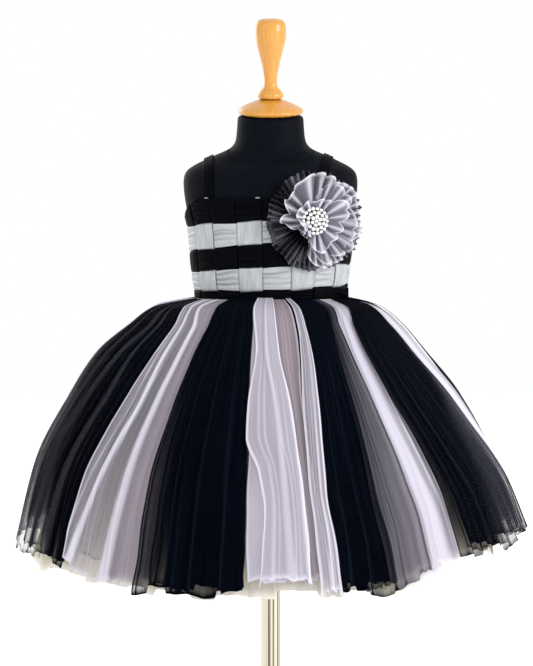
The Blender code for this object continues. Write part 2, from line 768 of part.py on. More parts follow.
def main():
    """Build the form, its stand and every piece of the dress."""
    clear_scene()
    collection = part_collection()
    build_stand(collection)
    build_form(collection)
    build_neck(collection)
    columns = weave_columns()
    build_bodice(collection, columns)
    build_upright_strips(collection, columns)
    build_level_strips(collection, columns)
    build_straps(collection)
    build_zip(collection)
    build_skirt(collection)
    build_petticoat(collection)
    build_flower(collection)


main()
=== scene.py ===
"""A girl's party dress on a dress form: basket weave bodice, tulle skirt, ruffle flower."""

import logging
import math
from dataclasses import dataclass, field
from enum import Enum

import bpy
import numpy as np
from bpy.types import Material, Node, NodeSocket, NodeTree, Object
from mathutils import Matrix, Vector

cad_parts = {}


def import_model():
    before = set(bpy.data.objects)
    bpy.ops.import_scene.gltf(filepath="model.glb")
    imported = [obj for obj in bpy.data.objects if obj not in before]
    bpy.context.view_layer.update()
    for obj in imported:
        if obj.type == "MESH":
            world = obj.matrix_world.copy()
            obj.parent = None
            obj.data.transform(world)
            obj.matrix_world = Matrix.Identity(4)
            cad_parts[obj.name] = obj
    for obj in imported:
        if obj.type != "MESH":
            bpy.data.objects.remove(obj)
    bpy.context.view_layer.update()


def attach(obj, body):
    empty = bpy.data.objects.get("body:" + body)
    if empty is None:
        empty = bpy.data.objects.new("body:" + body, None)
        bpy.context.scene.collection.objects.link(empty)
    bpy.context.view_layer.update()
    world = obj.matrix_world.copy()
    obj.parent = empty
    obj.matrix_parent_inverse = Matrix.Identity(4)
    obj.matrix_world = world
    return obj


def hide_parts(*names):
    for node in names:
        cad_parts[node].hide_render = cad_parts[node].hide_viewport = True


log = logging.getLogger("party_dress")
BODY = "dress_on_form"
WAIST = .6435
NECKLINE = .7666
UNDERARM = .7435
HEM_DROP = .3135
Track = tuple[tuple[float, float], ...]
# Shares of the way from waist to hem at which the edges of the front gores were measured.
STATIONS = (0, .04, .1, .2, .35, .5, .65, .8, 1)


class Hold(Enum):
    """How a sheet of cloth is held."""

    GATHERED = "gathered"
    STRETCHED = "stretched"
    FOLDED = "folded"


class Place(Enum):
    """Where a texture takes its coordinates from."""

    CUT = "UV"
    OBJECT = "Object"


def linear(colour: str) -> tuple[float, float, float, float]:
    """Turn an sRGB hex colour to linear red, green, blue and alpha."""
    parts = [int(colour[i:i + 2], 16) / 255 for i in (1, 3, 5)]
    red, green, blue = (c / 12.92 if c <= .04045 else ((c + .055) / 1.055) ** 2.4 for c in parts)
    return red, green, blue, 1.0


def add_node(tree: NodeTree, kind: str, settings: dict | None = None,
             links: dict | None = None) -> Node:
    """Add a node with its settings and links.

    Args:
        tree: the node tree that gets it.
        kind: the node's Blender type.
        settings: node attributes by name, and socket values by name or number.
        links: the output socket that feeds each input.
    Returns:
        The new node.
    """
    node = tree.nodes.new(kind)
    for key, value in (settings or {}).items():
        if isinstance(key, str) and hasattr(node, key):
            setattr(node, key, value)
        else:
            node.inputs[key].default_value = value
    for key, socket in (links or {}).items():
        tree.links.new(socket, node.inputs[key])
    return node


def coordinates(tree: NodeTree, place: Place,
                scale: tuple[float, float, float] = (1, 1, 1),
                turn: tuple[float, float, float] = (0, 0, 0)) -> NodeSocket:
    """Give each point's coordinates, turned and stretched."""
    source = add_node(tree, "ShaderNodeTexCoord")
    return add_node(tree, "ShaderNodeMapping", {"Scale": scale, "Rotation": turn},
                    {"Vector": source.outputs[place.value]}).outputs[0]


def noise(tree: NodeTree, place: NodeSocket, scale: float,
          detail: float) -> NodeSocket:
    """Give an uneven value from 0 to 1 at the coordinates."""
    return add_node(tree, "ShaderNodeTexNoise", {"Scale": scale, "Detail": detail},
                    {"Vector": place}).outputs["Fac"]


def attribute(tree: NodeTree, name: str) -> NodeSocket:
    """Read a value that lies on the mesh."""
    return add_node(tree, "ShaderNodeAttribute", {"attribute_name": name}).outputs["Fac"]


def calculate(tree: NodeTree, operation: str, *values: float | NodeSocket,
              clamp: bool = False) -> NodeSocket:
    """Work out a value from numbers and sockets.

    Args:
        tree: the node tree.
        operation: what to work out, by Blender's name.
        values: the numbers and sockets that it takes.
        clamp: whether the result is kept from 0 to 1.
    Returns:
        The result.
    """
    settings = {i: value for i, value in enumerate(values) if isinstance(value, float)}
    links = {i: value for i, value in enumerate(values) if not isinstance(value, float)}
    node = add_node(tree, "ShaderNodeMath", {"operation": operation, "use_clamp": clamp} | settings,
                    links)
    return node.outputs[0]


def blend(tree: NodeTree, share: NodeSocket,
          first: str | NodeSocket, second: str) -> NodeSocket:
    """Mix two colours.

    Args:
        tree: the node tree.
        share: how much of the second colour is taken.
        first: an sRGB hex colour or a colour socket.
        second: an sRGB hex colour.
    Returns:
        The mixed colour.
    """
    settings, links = {"data_type": "RGBA", 7: linear(second)}, {0: share}
    if isinstance(first, str):
        settings[6] = linear(first)
    else:
        links[6] = first
    return add_node(tree, "ShaderNodeMix", settings, links).outputs[2]


def ramp(tree: NodeTree, value: NodeSocket,
         *stops: tuple[float, str]) -> NodeSocket:
    """Turn a value to a colour, between two stops of a place and an sRGB hex colour."""
    node = add_node(tree, "ShaderNodeValToRGB", links={"Fac": value})
    for element, (place, colour) in zip(node.color_ramp.elements, stops):
        element.position, element.color = place, linear(colour)
    return node.outputs[0]


def bump(tree: NodeTree, height: NodeSocket, strength: float,
         distance: float) -> NodeSocket:
    """Raise the surface by a height, as a normal."""
    return add_node(tree, "ShaderNodeBump", {"Strength": strength, "Distance": distance},
                    {"Height": height}).outputs[0]


def smooth(xs: np.ndarray, ys: np.ndarray, x: np.ndarray) -> np.ndarray:
    """Interpolate without overshoot, with a cubic between each pair of values.

    Args:
        xs: rising places of the values.
        ys: the values.
        x: where to read them.
    Returns:
        The values at x.
    """
    xs, ys = np.asarray(xs, float), np.asarray(ys, float)
    step = np.diff(xs)
    slope = np.diff(ys) / step
    rate = np.zeros(len(xs))
    inner = slope[:-1] * slope[1:] > 0
    mean = 2 * slope[:-1] * slope[1:] / np.where(inner, slope[:-1] + slope[1:], 1)
    rate[1:-1] = np.where(inner, mean, 0)
    rate[0], rate[-1] = slope[0], slope[-1]
    x = np.clip(np.asarray(x, float), xs[0], xs[-1])
    i = np.clip(np.searchsorted(xs, x) - 1, 0, len(xs) - 2)
    t = (x - xs[i]) / step[i]
    low = (1 + 2 * t) * (1 - t) ** 2 * ys[i] + t * (1 - t) ** 2 * step[i] * rate[i]
    return low + t * t * (3 - 2 * t) * ys[i + 1] + t * t * (t - 1) * step[i] * rate[i + 1]


def follow(track: Track, t: np.ndarray) -> np.ndarray:
    """Read a line, given as pairs of place and value, at the places t."""
    places, values = zip(*track)
    return smooth(np.array(places), np.array(values), t)


def ease(x: np.ndarray, width: float) -> np.ndarray:
    """Rise from 0 to 1 where x passes 0, over a few widths."""
    return 1 / (1 + np.exp(-x / width))


def edge_line(*degrees: float | None) -> Track:
    """Give a line by its degrees at the stations, with None where it wasn't measured."""
    return tuple((t, value) for t, value in zip(STATIONS, degrees) if value is not None)


def moved(track: Track, top: float, bottom: float) -> Track:
    """Move a line sideways, by one amount at its place 0 and another at its place 1."""
    return tuple((t, value + top + (bottom - top) * t) for t, value in track)


def deselect() -> None:
    """Deselect every object."""
    if bpy.context.object and bpy.context.object.mode != "OBJECT":
        bpy.ops.object.mode_set(mode="OBJECT")
    bpy.ops.object.select_all(action="DESELECT")


def apply_modifier(piece: Object, kind: str, **settings: object) -> None:
    """Add a modifier and apply it.

    Args:
        piece: the object to change.
        kind: the modifier's Blender type.
        settings: its values.
    """
    modifier = piece.modifiers.new(kind.title(), kind)
    for key, value in settings.items():
        setattr(modifier, key, value)
    deselect()
    piece.select_set(True)
    bpy.context.view_layer.objects.active = piece
    bpy.ops.object.modifier_apply(modifier=modifier.name)


def corners(piece: Object) -> np.ndarray:
    """Read the points of a piece's mesh."""
    return np.array([v.co[:] for v in piece.data.vertices])


def repeat_mesh(piece: Object, copies: list[np.ndarray], rounded: bool = False) -> None:
    """Put many copies of a piece's mesh in its place.

    Args:
        piece: the object whose mesh is copied.
        copies: each copy's points, in the order of the mesh.
        rounded: whether they are smooth shaded.
    """
    faces = [list(p.vertices) for p in piece.data.polygons]
    count = len(piece.data.vertices)
    polygons = [[v + count * number for v in face]
                for number in range(len(copies)) for face in faces]
    mesh = bpy.data.meshes.new(piece.name)
    mesh.from_pydata(np.concatenate(copies).tolist(), [], polygons)
    mesh.polygons.foreach_set("use_smooth", np.full(len(polygons), rounded))
    piece.data = mesh


def cloth(name: str, points: np.ndarray, closed: bool = False, flip: bool = False,
          flat: np.ndarray | None = None, cover: np.ndarray | None = None,
          glow: np.ndarray | None = None) -> Object:
    """Make a sheet of cloth from a grid of points.

    Args:
        name: the piece's name.
        points: rows of points, one row for each place along the length.
        closed: whether each row comes back to its start.
        flip: whether to turn the faces over.
        flat: place of each point on the flat cut, in metres, for the weave.
        cover: how much each point hides what is behind it, from 0 to 1.
        glow: how much each point takes its finish's painted light, a painted highlight on tulle and
            painted crease shade on satin, from 0 to 1.
    Returns:
        The new object, smooth shaded.
    """
    rows, columns = points.shape[:2]
    a, b = np.meshgrid(np.arange(rows - 1), np.arange(columns if closed else columns - 1),
                       indexing="ij")
    after = (b + 1) % columns
    down, across = np.stack([a, a, a + 1, a + 1], -1), np.stack([b, b + 1, b + 1, b], -1)
    after = np.stack([b, after, after, b], -1)
    if flip:
        down, across, after = down[..., ::-1], across[..., ::-1], after[..., ::-1]
    faces = (down * columns + after).reshape(-1, 4)
    mesh = bpy.data.meshes.new(name)
    mesh.from_pydata(points.reshape(-1, 3).tolist(), [], faces.tolist())
    if flat is not None:
        layer = mesh.uv_layers.new(name="cut")
        seam = np.concatenate([flat, flat[:, :1] + [flat[:, -1, 0].max() / columns, 0]], 1)
        uv = (seam if closed else flat)[down.reshape(-1), across.reshape(-1)]
        layer.data.foreach_set("uv", uv.astype(np.float32).reshape(-1))
    for label, values in (("cover", cover), ("glow", glow)):
        if values is not None:
            data = mesh.attributes.new(label, "FLOAT", "POINT")
            data.data.foreach_set("value", values.astype(np.float32).reshape(-1))
    mesh.polygons.foreach_set("use_smooth", np.ones(len(faces), bool))
    mesh.update()
    piece = bpy.data.objects.new(name, mesh)
    bpy.context.scene.collection.objects.link(piece)
    return piece


@dataclass
class Ring:
    """One ring of a turned or padded form, in metres."""

    height: float
    half_width: float
    half_depth: float
    forward: float = 0.0
    tilt: float = 0.0


def ring_stack(name: str, rings: list[Ring], sides: int, levels: int = 2) -> Object:
    """Build a form ring by ring: a circle is extruded up and scaled at each ring.

    Args:
        name: the piece's name.
        rings: the rings from the bottom up, the first and last closed by a face.
        sides: points round each ring.
        levels: how often the surface is subdivided.
    Returns:
        The new object.
    """
    deselect()
    swell = 3 / (2 + math.cos(math.tau / sides))
    first = rings[0]
    bpy.ops.mesh.primitive_circle_add(vertices=sides, radius=1, fill_type="NGON",
                                      location=(0, -first.forward, first.height))
    piece = bpy.context.object
    piece.name = name
    bpy.ops.object.transform_apply(location=True, rotation=False, scale=False)
    bpy.ops.object.mode_set(mode="EDIT")
    bpy.ops.mesh.select_all(action="SELECT")
    bpy.ops.transform.resize(value=(first.half_width * swell, first.half_depth * swell, 1),
                             center_override=(0, -first.forward, first.height))
    for low, ring in zip(rings, rings[1:]):
        bpy.ops.mesh.extrude_region_move(TRANSFORM_OT_translate={
            "value": (0, low.forward - ring.forward, ring.height - low.height)})
        middle = (0, -ring.forward, ring.height)
        bpy.ops.transform.resize(value=(ring.half_width / low.half_width,
                                        ring.half_depth / low.half_depth, 1),
                                 center_override=middle)
        if ring.tilt != low.tilt:
            bpy.ops.transform.rotate(value=-math.radians(ring.tilt - low.tilt), orient_axis="X",
                                     center_override=middle)
    bpy.ops.mesh.select_all(action="SELECT")
    bpy.ops.mesh.normals_make_consistent(inside=False)
    bpy.ops.object.mode_set(mode="OBJECT")
    if levels:
        apply_modifier(piece, "SUBSURF", levels=levels, render_levels=levels)
    bpy.ops.object.shade_smooth_by_angle(angle=math.radians(50))
    return piece


def turned(name: str, profile: Track, sides: int = 32, levels: int = 2) -> Object:
    """Turn a profile, pairs of radius and height from the bottom up, about the upright axis."""
    return ring_stack(name, [Ring(h, r, r) for r, h in profile], sides, levels)


def dress_up(piece: Object, finish: "Finish", slot: str, *nodes: str,
             body: str = BODY) -> None:
    """Give a piece its finish, its body and the solids that it stands for.

    Args:
        piece: the finished piece.
        finish: what it is made of.
        slot: the record's material slot; not used.
        nodes: names of the solids that it replaces.
        body: the body that it moves with.
    """
    piece.data.materials.clear()
    piece.data.materials.append(finish.material())
    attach(piece, body)
    if nodes:
        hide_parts(*nodes)
    log.info("%s: %d faces", piece.name, len(piece.data.polygons))


@dataclass(frozen=True)
class Finish:
    """What a piece is made of. Each kind says how its nodes are set."""

    name: str

    def material(self) -> Material:
        """Make the material once and give it out again after that.

        Returns:
            The Blender material.
        """
        made = bpy.data.materials.get(self.name)
        if made:
            return made
        made = bpy.data.materials.new(self.name)
        made.use_nodes = True
        made.node_tree.nodes.clear()
        shader = self.shade(made.node_tree)
        add_node(made.node_tree, "ShaderNodeOutputMaterial", links={"Surface": shader.outputs[0]})
        return made

    def shade(self, tree: NodeTree) -> Node:
        """Set the nodes and return the shader node."""
        raise NotImplementedError


@dataclass(frozen=True)
class Satin(Finish):
    """Polyester satin, woven and pressed: long floats give a soft stripe of light along them."""

    light: str
    dark: str
    rough: float
    sheen: float
    shine: float
    # The colour of the painted shade in creases and grain troughs.
    crease: str

    def shade(self, tree: NodeTree) -> Node:
        """Set streaks along the thread and a faint slub, with painted shade in the creases.

        Args:
            tree: the material's node tree.
        Returns:
            The shader node.
        """
        # Real threads lie 0.1 mm apart. They are drawn as streaks 3 mm wide and 30 mm long,
        # because finer ones don't show at 1.25 mm a pixel.
        streak = noise(tree, coordinates(tree, Place.CUT, (330, 32, 1)), 1.0, 3.0)
        slub = noise(tree, coordinates(tree, Place.CUT, (60, 420, 1)), 1.0, 2.0)
        mixed = calculate(tree, "MULTIPLY_ADD", slub, .35, streak)
        base = ramp(tree, mixed, (.4, self.dark), (.85, self.light))
        gloss = add_node(tree, "ShaderNodeMapRange",
                         {"To Min": self.rough - .06, "To Max": self.rough + .08},
                         {"Value": streak})
        # Painted shade: the cloth takes the crease colour as far as a value on the mesh says.
        return add_node(tree, "ShaderNodeBsdfPrincipled",
                        {"Anisotropic": .5, "Sheen Weight": self.sheen, "Sheen Roughness": .35,
                         "Specular IOR Level": self.shine},
                        {"Base Color": blend(tree, attribute(tree, "glow"), base, self.crease),
                         "Roughness": gloss.outputs[0], "Normal": bump(tree, mixed, .35, .0004)})


@dataclass(frozen=True)
class Tulle(Finish):
    """Nylon tulle, a fine six sided net: one ply is a veil, folds and plies build up its tone."""

    thread: str
    shade_tone: str
    # The painted highlight colour, laid along fold sides, fold lines and borders.
    painted_highlight_tone: str
    gloss: float = .08
    # How much painted highlight the ply's borders take.
    rim: float = .75
    # How much painted highlight one side of each winding fold takes.
    crease: float = .3

    def shade(self, tree: NodeTree) -> Node:
        """Set a net that lets light through as much as its cover says, with a painted highlight as
        far as a value on the mesh says.

        Args:
            tree: the material's node tree.
        Returns:
            The shader node.
        """
        # Real holes are 1.2 mm across. The net is drawn with 1.6 mm cells and low contrast.
        cells = add_node(tree, "ShaderNodeTexVoronoi",
                         {"feature": "DISTANCE_TO_EDGE", "voronoi_dimensions": "2D", "Scale": 1.0,
                          "Randomness": .15},
                         {"Vector": coordinates(tree, Place.CUT, (620, 620, 1))})
        # The holes show in a veil and close up where the tulle is bunched.
        cover = attribute(tree, "cover")
        net = add_node(tree, "ShaderNodeMapRange", {"From Max": .35, "To Min": 1.1},
                       {"Value": cells.outputs["Distance"],
                        "To Max": calculate(tree, "MULTIPLY_ADD", cover, .28, .82)})
        cloud = noise(tree, coordinates(tree, Place.CUT, (22, 7, 1)), 1.0, 2.0)
        uneven = add_node(tree, "ShaderNodeMapRange", {"To Min": .93, "To Max": 1.12},
                          {"Value": cloud})
        netted = calculate(tree, "MULTIPLY", cover, net.outputs[0])
        tone = blend(tree, cloud, self.thread, self.shade_tone)
        # Painted highlight: the net takes the highlight colour as far as a value on the mesh says.
        return add_node(tree, "ShaderNodeBsdfPrincipled",
                        {"Roughness": .85, "Specular IOR Level": self.gloss},
                        {"Base Color": blend(tree, attribute(tree, "glow"), tone, self.painted_highlight_tone),
                         "Alpha": calculate(tree, "MULTIPLY", netted, uneven.outputs[0],
                                            clamp=True)})


@dataclass(frozen=True)
class Jersey(Finish):
    """Cotton jersey, knitted and drawn tight over padding: a matt black with a faint rib."""

    light: str = "#090d18"
    dark: str = "#020306"

    def shade(self, tree: NodeTree) -> Node:
        """Set fine knit wales and a soft unevenness.

        Args:
            tree: the material's node tree.
        Returns:
            The shader node.
        """
        # Real wales are 0.8 mm apart. They are drawn 3 mm apart so that they just show.
        place = coordinates(tree, Place.OBJECT)
        wale = add_node(tree, "ShaderNodeTexWave",
                        {"bands_direction": "X", "Scale": 100.0, "Distortion": .6, "Detail": 1.0},
                        {"Vector": place})
        blot = noise(tree, place, 60.0, 4.0)
        height = calculate(tree, "MULTIPLY_ADD", wale.outputs["Fac"], .6, blot)
        return add_node(tree, "ShaderNodeBsdfPrincipled",
                        {"Roughness": .55, "Sheen Weight": .01, "Sheen Roughness": .5,
                         "Specular IOR Level": .04},
                        {"Base Color": blend(tree, blot, self.dark, self.light),
                         "Normal": bump(tree, height, .3, .0004)})


@dataclass(frozen=True)
class TurnedWood(Finish):
    """Beech turned on a lathe and lacquered: honey colour, faint growth lines, a hard shine."""

    light: str = "#d09335"
    dark: str = "#b87426"

    def shade(self, tree: NodeTree) -> Node:
        """Set growth lines along the axis under clear lacquer.

        Args:
            tree: the material's node tree.
        Returns:
            The shader node.
        """
        # Growth lines in close grained beech lie 2 mm apart, drawn 5 mm apart so that they show.
        board = coordinates(tree, Place.OBJECT, (1, 1, .12), (.06, .1, .4))
        grow = add_node(tree, "ShaderNodeTexWave",
                        {"bands_direction": "X", "Scale": 60.0, "Distortion": 3.0, "Detail": 3.0,
                         "Detail Scale": .8}, {"Vector": board})
        faint = calculate(tree, "MULTIPLY", grow.outputs["Fac"], .16)
        both = calculate(tree, "MULTIPLY_ADD", noise(tree, board, 420.0, 5.0), .8, faint)
        return add_node(tree, "ShaderNodeBsdfPrincipled",
                        {"Roughness": .34, "Coat Weight": .42, "Coat Roughness": .03},
                        {"Base Color": ramp(tree, both, (.3, self.light), (1.0, self.dark)),
                         "Normal": bump(tree, both, .06, .0005)})


@dataclass(frozen=True)
class Steel(Finish):
    """Steel, drawn or rolled and nickel plated: bright, with fine lines along it."""

    tone: str
    rough: float
    # The colour of the painted reflection streaks.
    streak: str = "#8a806c"

    def shade(self, tree: NodeTree) -> Node:
        """Set plating with a little haze and painted reflection streaks.

        Args:
            tree: the material's node tree.
        Returns:
            The shader node.
        """
        # Polish lines are under 1 mm wide and run up the tube.
        line = noise(tree, coordinates(tree, Place.OBJECT, (1500, 1500, 12)), 1.0, 3.0)
        haze = add_node(tree, "ShaderNodeMapRange",
                        {"To Min": self.rough * .7, "To Max": self.rough * 1.4}, {"Value": line})
        # Painted reflections: streaks 2 to 4 mm across run along the tube in a second colour, where
        # it mirrors dark and light.
        band = noise(tree, coordinates(tree, Place.OBJECT, (430, 430, .8)), 1.0, 1.0)
        sharp = add_node(tree, "ShaderNodeMapRange", {"From Min": .47, "From Max": .56},
                         {"Value": band})
        return add_node(tree, "ShaderNodeBsdfPrincipled", {"Metallic": 1.0},
                        {"Roughness": haze.outputs[0],
                         "Base Color": blend(tree, sharp.outputs[0], self.tone, self.streak)})


@dataclass(frozen=True)
class Moulded(Finish):
    """A small moulded, cast or coated thing: one colour, a little mottle, its own shine."""

    light: str
    dark: str
    rough: float
    coat: float = 0.0
    metallic: float = 0.0
    grit: float = 900.0

    def shade(self, tree: NodeTree) -> Node:
        """Set a fine mottle and grit.

        Args:
            tree: the material's node tree.
        Returns:
            The shader node.
        """
        spots = noise(tree, coordinates(tree, Place.OBJECT), self.grit, 3.0)
        return add_node(tree, "ShaderNodeBsdfPrincipled",
                        {"Roughness": self.rough, "Coat Weight": self.coat,
                         "Metallic": self.metallic, "Coat Roughness": .1},
                        {"Base Color": blend(tree, spots, self.light, self.dark),
                         "Normal": bump(tree, spots, .1, .0002)})


@dataclass(frozen=True)
class Paper(Finish):
    """Matt backdrop paper that glows a little, so that the floor runs into one pale field."""

    tone: str

    def shade(self, tree: NodeTree) -> Node:
        """Set a nearly even white.

        Args:
            tree: the material's node tree.
        Returns:
            The shader node.
        """
        cloud = noise(tree, coordinates(tree, Place.OBJECT), 2.0, 2.0)
        return add_node(tree, "ShaderNodeBsdfPrincipled",
                        {"Roughness": .95, "Emission Color": linear("#ffffff"),
                         "Emission Strength": .34},
                        {"Base Color": blend(tree, cloud, self.tone, "#ffffff")})


JERSEY = Jersey("jersey_knit_black")
WOOD = TurnedWood("beech_turned_lacquered")
NICKEL = Steel("steel_nickel_plated", "#c8c1b0", .2, "#6d6350")
BASE_STEEL = Steel("steel_base_satin", "#a9a7a2", .34)
BLACK_SATIN = Satin("satin_black", "#06070c", "#020306", .4, .0, .02, "#000001")
SILVER_SATIN = Satin("satin_silver_grey", "#b2b5b9", "#989ba0", .34, .05, .6, "#666970")
BLACK_TULLE = Tulle("tulle_black", "#020308", "#050810", "#131b2b", .01, .0, .6)
BLACK_VEIL = Tulle("tulle_black_single_ply", "#020308", "#050810", "#36373f", .01, .0, .2)
LILAC_TULLE = Tulle("tulle_lilac_grey", "#b3aebb", "#a39eaa", "#dad8e5", .05, .62, .14)
CORSAGE_TULLE = Tulle("tulle_corsage_grey", "#918f9d", "#737280", "#e4e2ec", .05)
CORSAGE_BLACK = Tulle("tulle_corsage_black", "#020307", "#070b14", "#9a99a6", .01)
# Taupe tulle: real under-plies of the grey gores, with a darker colour that is painted shade of the
# lilac plies over them.
TAUPE_TULLE = Tulle("tulle_lining_taupe", "#948a92", "#7f757d", "#b3aab2")
CREAM_TULLE = Tulle("tulle_cream", "#ddd6c8", "#cfc7b6", "#f3efe6")
ZIP_TAPE = Moulded("nylon_zip_tape", "#14141a", "#08080b", .8, grit=1500.0)
ZIP_ENAMEL = Moulded("enamel_zip_black", "#1b1b20", "#0e0e11", .3, coat=.5)
PEARL = Moulded("pearl_bead", "#f5f3f1", "#e0dcdd", .22, coat=.9, metallic=.35, grit=300.0)
SETTING = Moulded("setting_dark", "#1c1a22", "#0c0b10", .5, metallic=.4)
PAPER = Paper("paper_backdrop_white", "#f6f6f6")


@dataclass
class DressForm:
    """The padded torso on its stand, smooth and whole under the dress."""

    rings: tuple[tuple[float, ...], ...] = (
        (.5000, .0880, .0690), (.5080, .0980, .0780), (.5450, .1040, .0830), (.5900, .0990, .0785),
        (.6435, .0905, .0712), (.6690, .0936, .0721), (.6980, .0966, .0733), (.7260, .0990, .0746),
        (.7536, .1046, .0752), (.7725, .1078, .0742), (.7890, .1090, .0690), (.7985, .1070, .0625),
        (.8045, .1020, .0570), (.8105, .0916, .0515), (.8185, .0750, .0470), (.8235, .0630, .0455),
        (.8290, .0495, .0440, .001), (.8365, .0438, .0425, .002, 2), (.8450, .0422, .0418, .003, 5),
        (.8672, .0409, .0409, .0048, 9.5), (.8707, .0405, .0405, .005, 10))
    seam: float = .0009
    neck: tuple[float, float, float] = (0, -.005, .8707)
    neck_tilt: float = 10.0

    def widths(self, height: np.ndarray) -> tuple[np.ndarray, np.ndarray, np.ndarray]:
        """Read the form's half width, half depth and lean at a height.

        Args:
            height: heights in metres.
        Returns:
            Half widths, half depths and how far forward the middle is.
        """
        table = np.array([(list(r) + [0, 0])[:4] for r in self.rings])
        return tuple(smooth(table[:, 0], table[:, k], height) for k in (1, 2, 3))

    def point(self, angle: np.ndarray, height: np.ndarray, offset: np.ndarray) -> np.ndarray:
        """Give the point at an angle and height, stood off from the form.

        Args:
            angle: angle round the form in radians, 0 at the front, positive to the wearer's left.
            height: height in metres.
            offset: distance off the form.
        Returns:
            The points.
        """
        wide, deep, forward = self.widths(height)
        return np.stack([(wide + offset) * np.sin(angle),
                         -(deep + offset) * np.cos(angle) - forward, height + 0 * angle], -1)

    def build(self) -> None:
        """Build the torso, its wooden cap and finial, and the steel stand."""
        torso = ring_stack("torso_jersey", [Ring(*r) for r in self.rings], 28)
        dress_up(torso, JERSEY, "jersey", "form_torso")
        self.build_seam()
        self.build_wood()
        self.build_stand()

    def build_seam(self) -> None:
        """Sew the line where the neck piece joins the shoulders."""
        turn = np.linspace(0, math.tau, 121)[:-1]
        dip = .0205 * np.clip(np.cos(turn), 0, 1) ** 1.5 + .012 * np.clip(-np.cos(turn), 0, 1)
        middle = self.point(turn, .8315 - dip, .0002)
        around = np.linspace(0, math.tau, 7)[:-1, None, None]
        out = np.stack([np.sin(turn), -np.cos(turn), .9 + 0 * turn], -1)
        out /= np.linalg.norm(out, axis=1)[:, None]
        side = np.cross(np.roll(middle, -1, 0) - np.roll(middle, 1, 0), out)
        side /= np.linalg.norm(side, axis=1)[:, None]
        rings = middle + self.seam * (np.cos(around) * out + np.sin(around) * side)
        seam = cloth("torso_neck_seam", np.concatenate([rings, rings[:1]], 0), closed=True,
                     flip=True)
        dress_up(seam, JERSEY, "jersey")

    def build_wood(self) -> None:
        """Turn the cap and the finial and set them on the tilted neck."""
        cap = turned("neck_cap_wood", (
            (.0330, .0003), (.0372, .0007), (.0401, .0026), (.0410, .0050), (.0402, .0070),
            (.0366, .0096), (.0300, .0130), (.0220, .0164), (.0150, .0188), (.0110, .0201)))
        finial = turned("finial_wood", (
            (.0110, .0203), (.0140, .0204), (.0156, .0214), (.0161, .0236), (.0158, .0264),
            (.0146, .0279), (.0138, .0285), (.0137, .0293), (.0124, .0308), (.0096, .0336),
            (.0080, .0370), (.0079, .0420), (.0088, .0506), (.0103, .0593), (.0123, .0680),
            (.0147, .0766), (.0170, .0853), (.0188, .0940), (.0195, .1026), (.0191, .1095),
            (.0175, .1147), (.0136, .1174), (.0076, .1184), (.0020, .1186)))
        for piece, node in ((cap, "neck_cap"), (finial, "finial")):
            deselect()
            piece.select_set(True)
            bpy.context.view_layer.objects.active = piece
            piece.rotation_euler = (math.radians(self.neck_tilt), 0, 0)
            piece.location = self.neck
            bpy.ops.object.transform_apply(location=True, rotation=True, scale=True)
            dress_up(piece, WOOD, "wood", node)

    def build_stand(self) -> None:
        """Build the steel pole, its sleeve under the torso and the round base."""
        pole = turned("pole_chrome", ((.0122, .0100), (.0125, .0101), (.0125, .0110),
                                      (.0125, .2500), (.0125, .4990), (.0125, .4997)), 32, 1)
        dress_up(pole, NICKEL, "steel", "pole")
        sleeve = turned("sleeve_chrome", ((.0129, .4700), (.0163, .4701), (.0167, .4740),
                                          (.0175, .4925), (.0290, .4962), (.0300, .4970),
                                          (.0300, .4992), (.0280, .4996)))
        dress_up(sleeve, NICKEL, "steel", "pole_sleeve")
        base = turned("base_round", ((.1385, .0000), (.1398, .0006), (.1400, .0030), (.1370, .0060),
                                     (.1250, .0085), (.0600, .0115), (.0215, .0132),
                                     (.0184, .0165), (.0180, .0200), (.0180, .0380),
                                     (.0168, .0398), (.0130, .0400)), 48)
        dress_up(base, BASE_STEEL, "steel", "base_plate")


